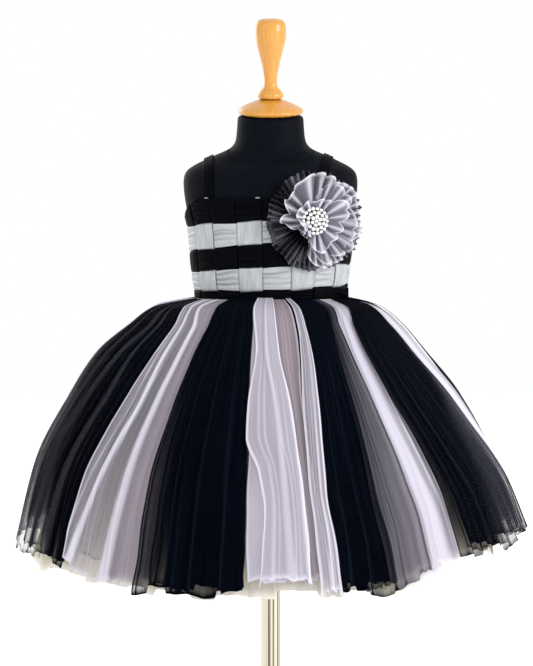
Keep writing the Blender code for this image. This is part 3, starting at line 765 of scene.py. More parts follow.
@dataclass
class Bodice:
    """The fitted bodice with its basket weave front, ribbons, straps and zip."""

    form: DressForm
    columns: tuple[float, ...] = (-.1024, -.0714, -.0404, -.0094, .0251, .0561, .0871, .1181)
    rows: tuple[float, ...] = (.7666, .7395, .7125, .6835, .6545, .6435)
    under: float = .0027
    over: float = .0042
    gap: float = .0007
    climb: Track = ((0, 0), (.055, .02), (.09, .03), (.065, .02), (.01, .05), (0, 0))
    panel: float = .0012
    strip: float = .0006
    ribbon: float = .0007
    raw_end: float = .0005
    strap: float = .0010
    crossing: float = .00032
    level_crossing: float = .00034
    strap_width: float = .0120
    neck_corner: float = math.radians(52)
    side: float = math.radians(89.8)
    arcs: np.ndarray = field(default_factory=lambda: np.zeros(0))
    turns: np.ndarray = field(default_factory=lambda: np.zeros(0))

    def __post_init__(self) -> None:
        """Measure the arc length round the form at the weave's middle height."""
        wide, deep, _ = self.form.widths(np.array(.7025))
        self.turns = np.linspace(-math.pi, math.pi, 1441)
        speed = np.hypot((wide + .002) * np.cos(self.turns), (deep + .002) * np.sin(self.turns))
        arcs = np.concatenate([[0], np.cumsum((speed[1:] + speed[:-1]) / 2 * np.diff(self.turns))])
        self.arcs = arcs - np.interp(0, self.turns, arcs)

    def angle(self, arc: np.ndarray) -> np.ndarray:
        """Turn a distance from the centre front, round the body, to an angle."""
        return np.interp(arc, self.arcs, self.turns)

    def top(self, angle: np.ndarray) -> np.ndarray:
        """Give the height of the top edge at an angle."""
        share = np.clip((np.abs(angle) - self.neck_corner) / (self.side - self.neck_corner), 0, 1)
        return UNDERARM + (NECKLINE - UNDERARM) * (1 + np.cos(math.pi * share)) / 2

    def build(self) -> None:
        """Build the panels, the woven strips, the ribbons, the straps and the zip."""
        self.build_panels()
        for strip in range(9):
            self.build_upright(strip)
        for row in range(5):
            self.build_level(row)
        self.build_back_ribbons()
        self.build_ribbon_end()
        self.build_strap("strap_left_shoulder", (.0580, .0731, .0600), 3)
        self.build_strap("strap_right_shoulder", (-.0766, -.0770, -.0600), 8)
        self.build_zip()

    def build_panels(self) -> None:
        """Lay the satin panels on the form: one in front, two at the back beside the zip."""
        zip_edge = math.radians(177.0)
        spans = {"bodice_front": (-self.side, self.side),
                 "bodice_back_left": (self.side + .004, zip_edge),
                 "bodice_back_right": (-zip_edge, -self.side - .004)}
        for name, (start, end) in spans.items():
            columns = int((end - start) * 36) + 2
            turn = np.linspace(start, end, columns)[None, :]
            share = np.linspace(0, 1, 40 if name == "bodice_front" else 60)[:, None]
            crest = self.top(turn)
            foot = WAIST + .0004
            height = foot + (crest - foot) * share
            ripple = .0004 * np.sin(turn * 9 + share * 5) * np.sin(math.pi * share)
            if name != "bodice_front":
                # Soft drag lines run from the underarm to the zip, as uneven as on a worn bodice.
                side = np.abs(turn)
                drag = np.sin(share * 21 + side * 5.0) * np.sin(share * 9 - side * 3)
                ripple = ripple + .0007 * drag * np.sin(math.pi * share) ** .7
            points = self.form.point(turn + 0 * share, height, .0021 + ripple)
            flat = np.stack([turn * .088 + 0 * share, height], -1)
            self.sew(name + "_satin", name, points, flat, self.panel)

    def sew(self, name: str, node: str, points: np.ndarray, flat: np.ndarray, thick: float,
            dark: bool = True, glow: np.ndarray | None = None, offset: int = -1) -> None:
        """Make one piece of satin, with its thickness, finish and cut.

        Args:
            name: the piece's name.
            node: the solid that it stands for, or nothing.
            points: rows of points of its face.
            flat: place of each point on the flat cut.
            thick: thickness of the cloth.
            dark: whether it is black.
            glow: how much each point takes the painted shade of a crease.
            offset: which side the thickness goes to, -1 inwards and 0 both.
        """
        finish, slot = (BLACK_SATIN, "black_satin") if dark else (SILVER_SATIN, "grey_satin")
        piece = cloth(name, points, flat=flat, glow=glow)
        apply_modifier(piece, "SOLIDIFY", thickness=thick, offset=offset)
        dress_up(piece, finish, slot, *((node,) if node else ()))

    def row_line(self, row: int, arc: np.ndarray) -> np.ndarray:
        """Give the height of a row's upper edge, which climbs to the right as the strips pull.

        Args:
            row: the row's number from the top.
            arc: distance from the centre front.
        Returns:
            The heights.
        """
        lift = arc * np.where(arc < 0, self.climb[row][0], self.climb[row][1])
        if 0 < row < 5:
            lift = lift + .0006 * np.sin(arc * 90 + row * 2.1)
        return self.rows[row] + lift

    def build_upright(self, strip: int) -> None:
        """Weave one upright strip over and under the level ones.

        Args:
            strip: its number from the left.
        """
        side = float(np.interp(self.side, self.turns, self.arcs)) - .0004
        edges = (-side,) + self.columns + (side,)
        start, end = edges[strip] + self.gap, edges[strip + 1] - self.gap
        across = np.linspace(0, 1, 17)
        arc = start + (end - start) * across[None, :]
        turn = self.angle(arc)
        tip = .0026 * np.exp(-((across[None, :] - .86) / .11) ** 2) if strip in (1, 3) else 0
        crest = self.top(turn) - (.0012 if strip % 2 else .0004) + tip
        bottom = self.rows[5] + .0006
        share = np.linspace(0, 1, 132)[:, None]
        height = bottom + (crest - bottom) * share
        level = np.zeros_like(height)
        for row in range(5):
            high = self.over if (strip + row) % 2 == 0 else self.under
            upper, lower = self.row_line(row, arc), self.row_line(row + 1, arc)
            inside = ((1 if row == 0 else ease(upper - height, self.crossing))
                      * (1 if row == 4 else ease(height - lower, self.crossing)))
            off = (2 * height - upper - lower) / (upper - lower)
            swell = .0007 * np.clip(1 - off ** 2, 0, 1) ** .6
            level += inside * (high + (swell if high == self.over else 0))
        crown = .0005 * (1 - (2 * across[None, :] - 1) ** 4) - .0004
        grain = .00014 * np.sin(across[None, :] * 13 + strip * 2 + 2 * np.sin(height * 60 + strip))
        points = self.form.point(turn + 0 * share, height, level + crown + grain)
        flat = np.stack([arc + 0 * share, height], -1)
        # Painted shade in the troughs of the grain.
        tone = .2 * np.clip(-grain / .00014, 0, 1) ** 2
        self.sew(f"upright_strip_{strip + 1}", f"weave_upright_{strip + 1}", points, flat,
                 self.strip,
                 dark=strip % 2 == 0, glow=tone)

    def build_level(self, row: int) -> None:
        """Weave one level strip, with pressed creases where it lies on top.

        Args:
            row: its number from the top.
        """
        side = float(np.interp(self.side, self.turns, self.arcs)) - .0006
        arc = np.linspace(-side, side, 240)[None, :]
        turn = self.angle(arc)
        ridge = self.top(turn) - .0001
        upper = np.minimum(self.row_line(row, arc) - (0 if row == 0 else self.gap), ridge)
        lower = self.row_line(row + 1, arc) + self.gap
        if row == 4:
            lower = self.row_line(5, arc) + .0003
        across = np.linspace(0, 1, 25)[:, None]
        height = lower + (upper - lower) * across
        edges = (-side - .01,) + self.columns + (side + .01,)
        level, tone = np.zeros_like(height), np.zeros_like(height)
        for strip, (left, right) in enumerate(zip(edges, edges[1:])):
            inside = (ease(arc - left, self.level_crossing)
                      * ease(right - arc, self.level_crossing))
            if (strip + row) % 2 == 0:
                level += inside * self.under
                continue
            share = np.clip((2 * arc - left - right) / (right - left), -1, 1)
            swell = .0006 * np.clip(1 - share ** 2, 0, 1) ** .5
            # Where the creases lie, the cloth gets painted shade.
            crease, shade = self.press(row, strip, across, share)
            tone = np.maximum(tone, inside * shade)
            level += inside * (self.over + swell + crease)
        crown = .0005 * (1 - (2 * across - 1) ** 4) - .0004
        points = self.form.point(turn + 0 * across, height, level + crown)
        flat = np.stack([height, arc + 0 * across], -1)
        name = f"level_strip_{row + 1}" if row < 4 else "waist_ribbon_front_satin"
        node = f"weave_level_{row + 1}" if row < 4 else "waist_ribbon_front"
        self.sew(name, node, points, flat, self.strip,
                 dark=row % 2 == 0, glow=tone)

    def press(self, row: int, strip: int, across: np.ndarray,
              share: np.ndarray) -> tuple[np.ndarray, np.ndarray]:
        """Press uneven creases along a level strip where it lies on top.

        Args:
            row: the level strip's number from the top.
            strip: number of the upright strip that it crosses, from the left.
            across: share of the way across the level strip.
            share: place between the upright strip's edges, from -1 to 1.
        Returns:
            How far the cloth rises, below 0 in a crease, and how dark the crease's painted shade
            is.
        """
        rng = np.random.default_rng(40 + row * 9 + strip)
        crease, shade = 0 * (across + share), 0 * (across + share)
        for place in (.27, .52, .76) if row < 4 else (.35, .65):
            at = place + rng.uniform(-.07, .07) + rng.uniform(-.05, .05) * share
            at = at + .025 * np.sin(share * 3 + rng.uniform(0, 6))
            deep = rng.uniform(.0008, .0016) * (1 - .5 * share ** 2)
            bell = np.exp(-((across - at) / rng.uniform(.035, .06)) ** 2)
            crease = crease - deep * bell
            shade = np.maximum(shade, bell * rng.uniform(.25, .75) * (1 - .4 * share))
        return crease, shade

    def build_back_ribbons(self) -> None:
        """Lay the waist ribbon round the back, with soft creases along it."""
        for name, start, end in (("waist_ribbon_back_left", self.side, math.radians(176.6)),
                                 ("waist_ribbon_back_right", -math.radians(176.6), -self.side)):
            turn = np.linspace(start, end, 90)[None, :]
            across = np.linspace(0, 1, 17)[:, None]
            height = self.rows[5] + .0003 + (.0110 - .0006) * across
            crease = (-.0005 * np.exp(-((across - .36 - .06 * np.sin(turn * 4)) / .09) ** 2)
                      - .0004 * np.exp(-((across - .7 - .05 * np.sin(turn * 5 + 1)) / .08) ** 2))
            points = self.form.point(turn + 0 * across, height + 0 * turn, .0038 + crease)
            flat = np.stack([height + 0 * turn, turn * .086 + 0 * across], -1)
            self.sew(name + "_satin", name, points, flat, self.ribbon)

    def build_ribbon_end(self) -> None:
        """Let the raw end of the waist ribbon stick out at the wearer's left side seam."""
        along, across = np.linspace(0, 1, 24)[None, :], np.linspace(0, 1, 9)[:, None]
        x = .0840 + .0122 * along + 0 * across
        y = -.0352 + .0022 * along + .0006 * np.sin(across * 6 + along * 4)
        z = .6438 + across * (.0112 + .0016 * along) + .0004 * np.sin(along * 9)
        points = np.stack([x, y, z], -1)
        flat = np.stack([across * .0105 + 0 * along, along * .0125 + 0 * across], -1)
        self.sew("waist_ribbon_raw_end", "", points, flat, self.raw_end,
                 offset=0)

    def build_strap(self, node: str, across_body: tuple[float, float, float], seed: int) -> None:
        """Lay a pleated strap over the shoulder, by finding the form under it.

        Args:
            node: the solid that it stands for.
            across_body: how far across the body its middle is in front, on top and behind.
            seed: start of its unevenness.
        """
        rng = np.random.default_rng(seed)
        share = np.linspace(0, 1, 120)[:, None]
        across = np.linspace(-1, 1, 29)[None, :]
        hub, width = .7400, self.strap_width
        ends = np.where(share < .5, across_body[0], across_body[2])
        middle = ends + (across_body[1] - ends) * np.sin(share * math.pi)
        x = middle + across * width / 2 * (1 - .05 * np.sin(share * math.pi))
        first = self.reach(x[:1], math.radians(10), hub, .7669, True)
        last = self.reach(x[-1:], math.radians(170), hub, .7438, False)
        turn = first + (last - first) * share
        radius = self.hit(x, turn, hub)
        pleat = np.zeros_like(x)
        for place in (-.42, .08, .52):
            at = place + rng.uniform(-.06, .06)
            at = at + .05 * np.sin(share * rng.uniform(5, 9) + place * 7)
            pleat = pleat - .0008 * np.exp(-((across - at) / .10) ** 2)
        radius = radius + .0024 + pleat - .0005 * across ** 4
        points = np.stack([x, -radius * np.cos(turn), hub + radius * np.sin(turn)], -1)
        steps = np.linalg.norm(np.diff(points[:, 14], axis=0), axis=1)
        run = np.concatenate([[0], np.cumsum(steps)])
        flat = np.stack([across * width / 2 + 0 * share, run[:, None] + 0 * across], -1)
        self.sew(node + "_satin", node, points, flat, self.strap)

    def hit(self, x: np.ndarray, turn: np.ndarray, hub: float) -> np.ndarray:
        """Find how far the form reaches from a hub line, in a plane across the body.

        Args:
            x: how far across the body each plane is.
            turn: direction from the hub, 0 to the front and a quarter turn straight up.
            hub: height of the hub line.
        Returns:
            The distance to the form's surface.
        """
        low, high = np.zeros_like(x + turn), np.full_like(x + turn, .16)
        for _ in range(26):
            mid = (low + high) / 2
            wide, deep, forward = self.form.widths(hub + mid * np.sin(turn))
            inside = (x / wide) ** 2 + ((-mid * np.cos(turn) + forward) / deep) ** 2 < 1
            low, high = np.where(inside, mid, low), np.where(inside, high, mid)
        return low

    def reach(self, x: np.ndarray, guess: float, hub: float, height: float,
              front: bool) -> np.ndarray:
        """Find the direction in which the form is at a given height.

        Args:
            x: how far across the body each plane is.
            guess: first direction tried.
            hub: height of the hub line.
            height: the height wanted.
            front: whether the strap's front end is meant.
        Returns:
            The directions in radians.
        """
        turn = np.full_like(x, guess)
        for _ in range(12):
            rise = height - hub
            away = np.sqrt(np.maximum(self.hit(x, turn, hub) ** 2 - rise ** 2, 1e-6))
            turn = np.arctan2(rise, away)
            if not front:
                turn = math.pi - turn
        return turn

    def build_zip(self) -> None:
        """Set two rows of moulded teeth on the tape, and finish the solids of the zip."""
        for name, finish in (("zip_tape", ZIP_TAPE), ("zip_slider", ZIP_ENAMEL),
                             ("zip_tab", ZIP_ENAMEL)):
            materials = bpy.data.objects[name].data.materials
            materials.clear()
            materials.append(finish.material())
        deselect()
        bpy.ops.mesh.primitive_cube_add(size=1, location=(0, 0, 0))
        tooth = bpy.context.object
        tooth.name = "zip_teeth"
        tooth.scale = (.0022, .0010, .0009)
        bpy.ops.object.transform_apply(location=True, rotation=True, scale=True)
        apply_modifier(tooth, "BEVEL", width=.0002, segments=1)
        single, teeth = corners(tooth), []
        for number, height in enumerate(np.arange(WAIST + .004, .7300, .0014)):
            spot = self.form.point(np.array(math.pi), height, .0042)
            teeth.append(single + spot + [.0006 if number % 2 else -.0006, 0, 0])
        repeat_mesh(tooth, teeth)
        dress_up(tooth, ZIP_ENAMEL, "zip_enamel")


@dataclass
class Fold:
    """A fold pressed into a ply: its line in degrees, its half width, its rise, its weight and how
    much painted highlight lies along it.
    """

    line: Track
    half: float
    rise: float
    weight: float
    # How much painted highlight lies along the fold.
    glow: float = .6


@dataclass
class Ply:
    """One ply of tulle: where its two edges run, how dense it is and how long."""

    name: str
    finish: Tulle
    left: Track
    right: Track
    lift: float
    cover: tuple[float, float, float, float]
    length: float = 1.0
    gather: float = 1.35
    folds: tuple[Fold, ...] = ()
    seed: int = 0
    fine: bool = True
    edge: float = 1.6
    ragged: float = .004
    depth: float = 1.0

    @property
    def slot(self) -> str:
        """Give the record's material slot for its tulle."""
        if self.finish in (BLACK_TULLE, BLACK_VEIL):
            return "black_tulle"
        return "cream_tulle" if self.finish == CREAM_TULLE else "grey_tulle"

    @property
    def nodes(self) -> tuple[str, ...]:
        """Name the solid that the ply stands for, as only an outer ply does."""
        solid, outer, _ = self.name.partition("_outer")
        return (solid.replace("gore", "skirt_gore"),) if outer else ()


@dataclass
class Skirt:
    """The full skirt: gores of black and lilac tulle in plies, over a cream petticoat."""

    outline: tuple[tuple[float, float, float], ...] = (
        (.0003, .0943, .0943), (.0100, .1440, .1340), (.0325, .1760, .1630), (.0663, .2160, .1920),
        (.1200, .2510, .2370), (.2000, .2930, .2840), (.3135, .3225, .3260))
    petticoat: tuple[tuple[float, float, float], ...] = (
        (.0003, .0927, .0927), (.0045, .0933, .0933), (.0120, .0990, .0990), (.0325, .1270, .1270),
        (.0800, .1780, .1780), (.1600, .2340, .2340), (.3215, .2990, .2990))
    hem: Track = ((-180, .985), (-120, .97), (-90, .955), (-54, .955), (-43, .975), (-28, 1.0),
                  (0, 1.0), (25, 1.0), (34, .955), (44, .925), (86, .90), (110, .93), (150, .98),
                  (180, .985))
    petticoat_hem: Track = ((-180, 1.01), (-90, 1.0), (-54, 1.02), (0, 1.025), (25, 1.02),
                            (45, .965), (90, .95), (130, .99), (180, 1.01))
    fine_rows: int = 72
    plain_rows: int = 48
    fine_pitch: float = .0019
    plain_pitch: float = .0032
    fold_pitch: float = .034
    lap_pitch: float = .022
    waist_gather: float = 1.58
    border: float = .0021
    waist_squash: float = .0193

    def surface(self, rows: tuple, angle: np.ndarray, drop: np.ndarray,
                offset: np.ndarray) -> np.ndarray:
        """Give points of the skirt's form.

        Args:
            rows: drop and radius on each side.
            angle: angle in radians, 0 at the front.
            drop: distance below the waist.
            offset: distance off the form.
        Returns:
            The points.
        """
        table = np.array(rows)
        lean = (1 + np.sin(angle)) / 2

        def radius(depth: np.ndarray) -> np.ndarray:
            """Read the radius at a depth."""
            return (smooth(table[:, 0], table[:, 2], depth) * lean
                    + smooth(table[:, 0], table[:, 1], depth) * (1 - lean))

        reach = radius(drop)
        rate = np.minimum((radius(drop + .001) - radius(drop - .001)) / .002, 3.0)
        last = table[-1, 2] * lean + table[-1, 1] * (1 - lean)
        squash = self.waist_squash * (1 - (reach - table[0, 1]) / (last - table[0, 1]))
        norm = np.sqrt(1 + rate ** 2)
        reach = reach + offset / norm
        return np.stack([reach * np.sin(angle), -(reach - squash) * np.cos(angle),
                         WAIST - drop + offset * rate / norm], -1)

    def build_ply(self, ply: Ply, rows: tuple) -> None:
        """Gather one ply: a flat strip that winds in and out between its two edges.

        Args:
            ply: what to build.
            rows: the form that it hangs on.
        """
        rng = np.random.default_rng(ply.seed)
        fine = ply.fine
        down = np.linspace(0, 1, self.fine_rows if fine else self.plain_rows)
        fall = .32 * down + .68 * down ** 1.6
        deep = fall[:, None]
        left, right = (np.radians(follow(line, fall)) for line in (ply.left, ply.right))
        for line in (left, right):
            line += np.radians(.35) * fall * (np.sin(fall * 13 + rng.uniform(0, 6)) * .5
                                              + np.sin(fall * 29 + rng.uniform(0, 6)) * .3)
        middle = self.surface(rows, (left + right) / 2, fall * HEM_DROP, 0 * fall)
        ratio = self.waist_gather + (ply.gather - self.waist_gather) * fall ** .6
        cut = np.linalg.norm(middle[:, :2], axis=1) * (right - left) * ratio
        columns = int(np.clip(cut[-1] / (self.fine_pitch if fine else self.plain_pitch), 16, 230))
        along = np.linspace(0, 1, columns)[None, :]
        tilt, forward, inward = self.wind(ply, fall, cut, ratio, along, rng)
        angle = left[:, None] + (right - left)[:, None] * (forward / forward[:, -1:])
        degrees = np.degrees(angle)
        drop = deep * self.shape_hem(ply, degrees[-1], along[0], cut[-1], rng)[None, :]
        rise, weight, glow = self.press_folds(ply, degrees, fall)
        offset = ply.lift * (.25 + .75 * deep) + inward + rise
        points = self.surface(rows, angle, drop + .0003, offset)
        # The corners of the ply say how dense it is, and bunched cloth is denser.
        top_left, top_right, low_left, low_right = ply.cover
        base = ((top_left + (top_right - top_left) * along) * (1 - deep)
                + (low_left + (low_right - low_left) * along) * deep)
        power = weight * (1 + 1.3 * (1 - deep) ** 3) / np.clip(np.cos(tilt), .38, 1)
        border = (np.minimum(along, 1 - along) * cut[:, None] < self.border) | (deep > .994)
        power = np.where(border, power * (1 + ply.edge), power)
        # Painted highlight: one side of each winding fold, the ply's borders and its pressed folds
        # take the lighter tone.
        streak = np.clip(np.sin(tilt) / max(float(np.abs(np.sin(tilt)).max()), .1), 0, 1) ** 1.4
        glow = np.where(border, ply.finish.rim, np.maximum(glow, ply.finish.crease * streak))
        cover = 1 - (1 - np.clip(base, 0, .985)) ** power
        length = float(np.linalg.norm(np.diff(points, axis=0), axis=-1).mean(1).sum())
        flat = np.stack([along * cut[:, None], deep * length + 0 * along], -1)
        piece = cloth(ply.name, points, flat=flat, cover=cover, glow=glow, flip=True)
        dress_up(piece, ply.finish, ply.slot, *ply.nodes)

    def wind(self, ply: Ply, fall: np.ndarray, cut: np.ndarray, ratio: np.ndarray,
             along: np.ndarray, rng: np.random.Generator) -> tuple[np.ndarray, ...]:
        """Wind a strip in and out, each row just so far that it fits between its two edges.

        Args:
            ply: the ply.
            fall: share of the way down of each row.
            cut: length of each row on the flat cut.
            ratio: how many times longer than its span each row is.
            along: share of the way along of each point.
            rng: source of its unevenness.
        Returns:
            The strip's tilt, and how far it has come along its span and outwards.
        """
        count = max(2.0, cut[-1] / self.fold_pitch)
        winding = np.zeros((len(fall), along.shape[1]))
        for share, power in ((1.0, 1.0), (1.62, .75), (2.7, .55), (4.6, .4), (7.5, .3)):
            turns = count * share * rng.uniform(.9, 1.1)
            if share < 2:
                fade = .25 + .75 * fall
            else:
                fade = 1.15 - fall ** .7 if share > 4 else .8 + 0 * fall
            drift = rng.uniform(-.6, .6) * fall + rng.uniform(0, 6)
            sway = rng.uniform(.1, .5) * np.sin(fall * rng.uniform(2, 6) + rng.uniform(0, 6))
            winding += power * fade[:, None] * np.sin(
                math.tau * turns * (along + .04 * np.sin(math.tau * along + ply.seed))
                + (drift * 3 + sway)[:, None])
        winding /= np.abs(winding).max(1, keepdims=True)
        low, high = np.zeros(len(fall)), np.full(len(fall), 1.45)
        for _ in range(24):
            mid = (low + high) / 2
            short = np.cos(mid[:, None] * winding).mean(1) * ratio < 1
            high, low = np.where(short, mid, high), np.where(short, low, mid)
        tilt = low[:, None] * winding
        step, start = cut[:, None] / (along.shape[1] - 1), 0 * cut[:, None]
        forward, inward = (np.concatenate([start, np.cumsum(part[:, 1:] * step, 1)], 1)
                           for part in (np.cos(tilt), np.sin(tilt)))
        inward -= inward[:, :1] + (inward[:, -1:] - inward[:, :1]) * along
        inward -= inward.mean(1, keepdims=True)
        inward *= .5 * ply.depth * (1 - .7 * np.abs(2 * along - 1) ** 5)
        return tilt, forward, inward

    def shape_hem(self, ply: Ply, degrees: np.ndarray, along: np.ndarray, cut: float,
                  rng: np.random.Generator) -> np.ndarray:
        """Give how far below the waist the ragged hem lies.

        Args:
            ply: the ply.
            degrees: angle of each point of the hem.
            along: share of the way along of each point.
            cut: length of the hem on the flat cut.
            rng: source of its unevenness.
        Returns:
            The drop of each point.
        """
        line = self.petticoat_hem if ply.slot == "cream_tulle" else self.hem
        hem = follow(line, (degrees + 180) % 360 - 180) * ply.length
        ragged = .4 * sum(np.sin(math.tau * along * n + rng.uniform(0, 6)) / n ** .5
                          for n in (1.3, 2.7, 5.1))
        # Where a fold laps over the next, the hem steps up or down.
        laps = np.sort(rng.uniform(.03, .97, max(3, int(cut / self.lap_pitch))))
        steps = rng.uniform(-1.3, 1.3, len(laps) + 1)
        ragged += np.interp(along, np.stack([laps, laps + .006], 1).reshape(-1),
                            np.repeat(steps, 2)[1:-1])
        return HEM_DROP * hem + ply.ragged * ragged

    def press_folds(self, ply: Ply, degrees: np.ndarray,
                    fall: np.ndarray) -> tuple[np.ndarray, np.ndarray, np.ndarray]:
        """Press the ply's main folds into it.

        Args:
            ply: the ply.
            degrees: angle of each point.
            fall: share of the way down of each row.
        Returns:
            How far the folds rise, how many plies they count as, and their painted highlight.
        """
        rise, weight, glow = 0 * degrees, 0 * degrees + 1, 0 * degrees
        swell = np.sin(math.pi * np.clip(fall, 0, 1) ** .5)[:, None] ** .5
        for fold in ply.folds:
            off = degrees - follow(fold.line, fall)[:, None]
            bell = np.exp(-(off / (fold.half * (.5 + .5 * fall[:, None]))) ** 4)
            rise += fold.rise * bell * swell
            weight += fold.weight * bell
            glow = np.maximum(glow, fold.glow * bell)
        return rise, weight, glow

    def build(self) -> None:
        """Build the petticoat, then every gore with its plies."""
        self.build_petticoat()
        for ply in self.front_plies() + self.back_plies():
            self.build_ply(ply, self.outline)

    def build_petticoat(self) -> None:
        """Hang the cream petticoat in quarters, each of two plies."""
        quarters = (("front_right", -91, 1), ("front_left", -1, 0), ("back_left", 89, 1),
                    ("back_right", 179, 0))
        for name, start, seed in quarters:
            for layer, lift, length in (("outer", .0, 1.0), ("inner", -.006, .98)):
                self.build_ply(Ply(
                    f"petticoat_{name}_{layer}_tulle", CREAM_TULLE, ((0, start), (1, start)),
                    ((0, start + 92), (1, start + 92)), lift, (.97, .97, .8, .8), length, 1.2,
                    seed=start + 300 + seed, fine=False, edge=.3), self.petticoat)

    def front_plies(self) -> list[Ply]:
        """List the plies of the eight front gores.

        Returns:
            The plies.
        """
        black, lilac, taupe = BLACK_TULLE, LILAC_TULLE, TAUPE_TULLE
        # Each line runs from the waist to the hem, in degrees from the centre front.
        one_left = edge_line(-59, -46, -41.8, -40.8, -42.8, -45.2, -47, -47.9, -48.8)
        band_a = edge_line(-50, -41, -37.8, -36.7, -37.4, -39.8, -42.2, -44.5, -47.3)
        band_b = edge_line(-42, -36, -32, -31, -32.3, -33.5, -34.2, -35.1, -36)
        two_left = edge_line(-31, -26.8, -25.7, -25.8, -26.8, -27.5, -27.8, None, -28.1)
        two_right = edge_line(-10.2, -8.6, -7.3, -6.7, -6.1, -5.6, None, None, -5.2)
        wave = ((0, -9.4), (.04, -8), (.2, -4.9), (.36, -6.2), (.49, -6), (.61, -2.6),
                (.73, -1.5), (1, -2.2))
        panel = edge_line(1.6, None, 2.3, 2.9, 5.1, 6.2, 6.8, None, 8)
        slip = edge_line(13.4, None, 13, 11.8, 10, 9.4, None, None, 9.3)
        three_left = edge_line(14.6, None, 14.3, 14.1, 13.2, 12.4, 12.1, 13.1, 13.6)
        three_dense = edge_line(31, 28.6, 26, 23.9, 23.3, 23.2, 23.1, 24, 24.8)
        three_right = edge_line(37, 33, 29.8, 29.2, 29.5, 30.6, 31.9, 33.1, 33.8)
        bright = edge_line(41, 36.5, 33.8, 32.2, 32.3, 33.6, 35.7, 37.9, 38.8)
        four_left = edge_line(54, 43.5, 37.8, 36, 36.6, 38.8, 40.6, 42.2, 43)
        four_right = edge_line(79, 67, 63.4, 63.8, 66.1, 68.4, 73.9, 82, 86.5)
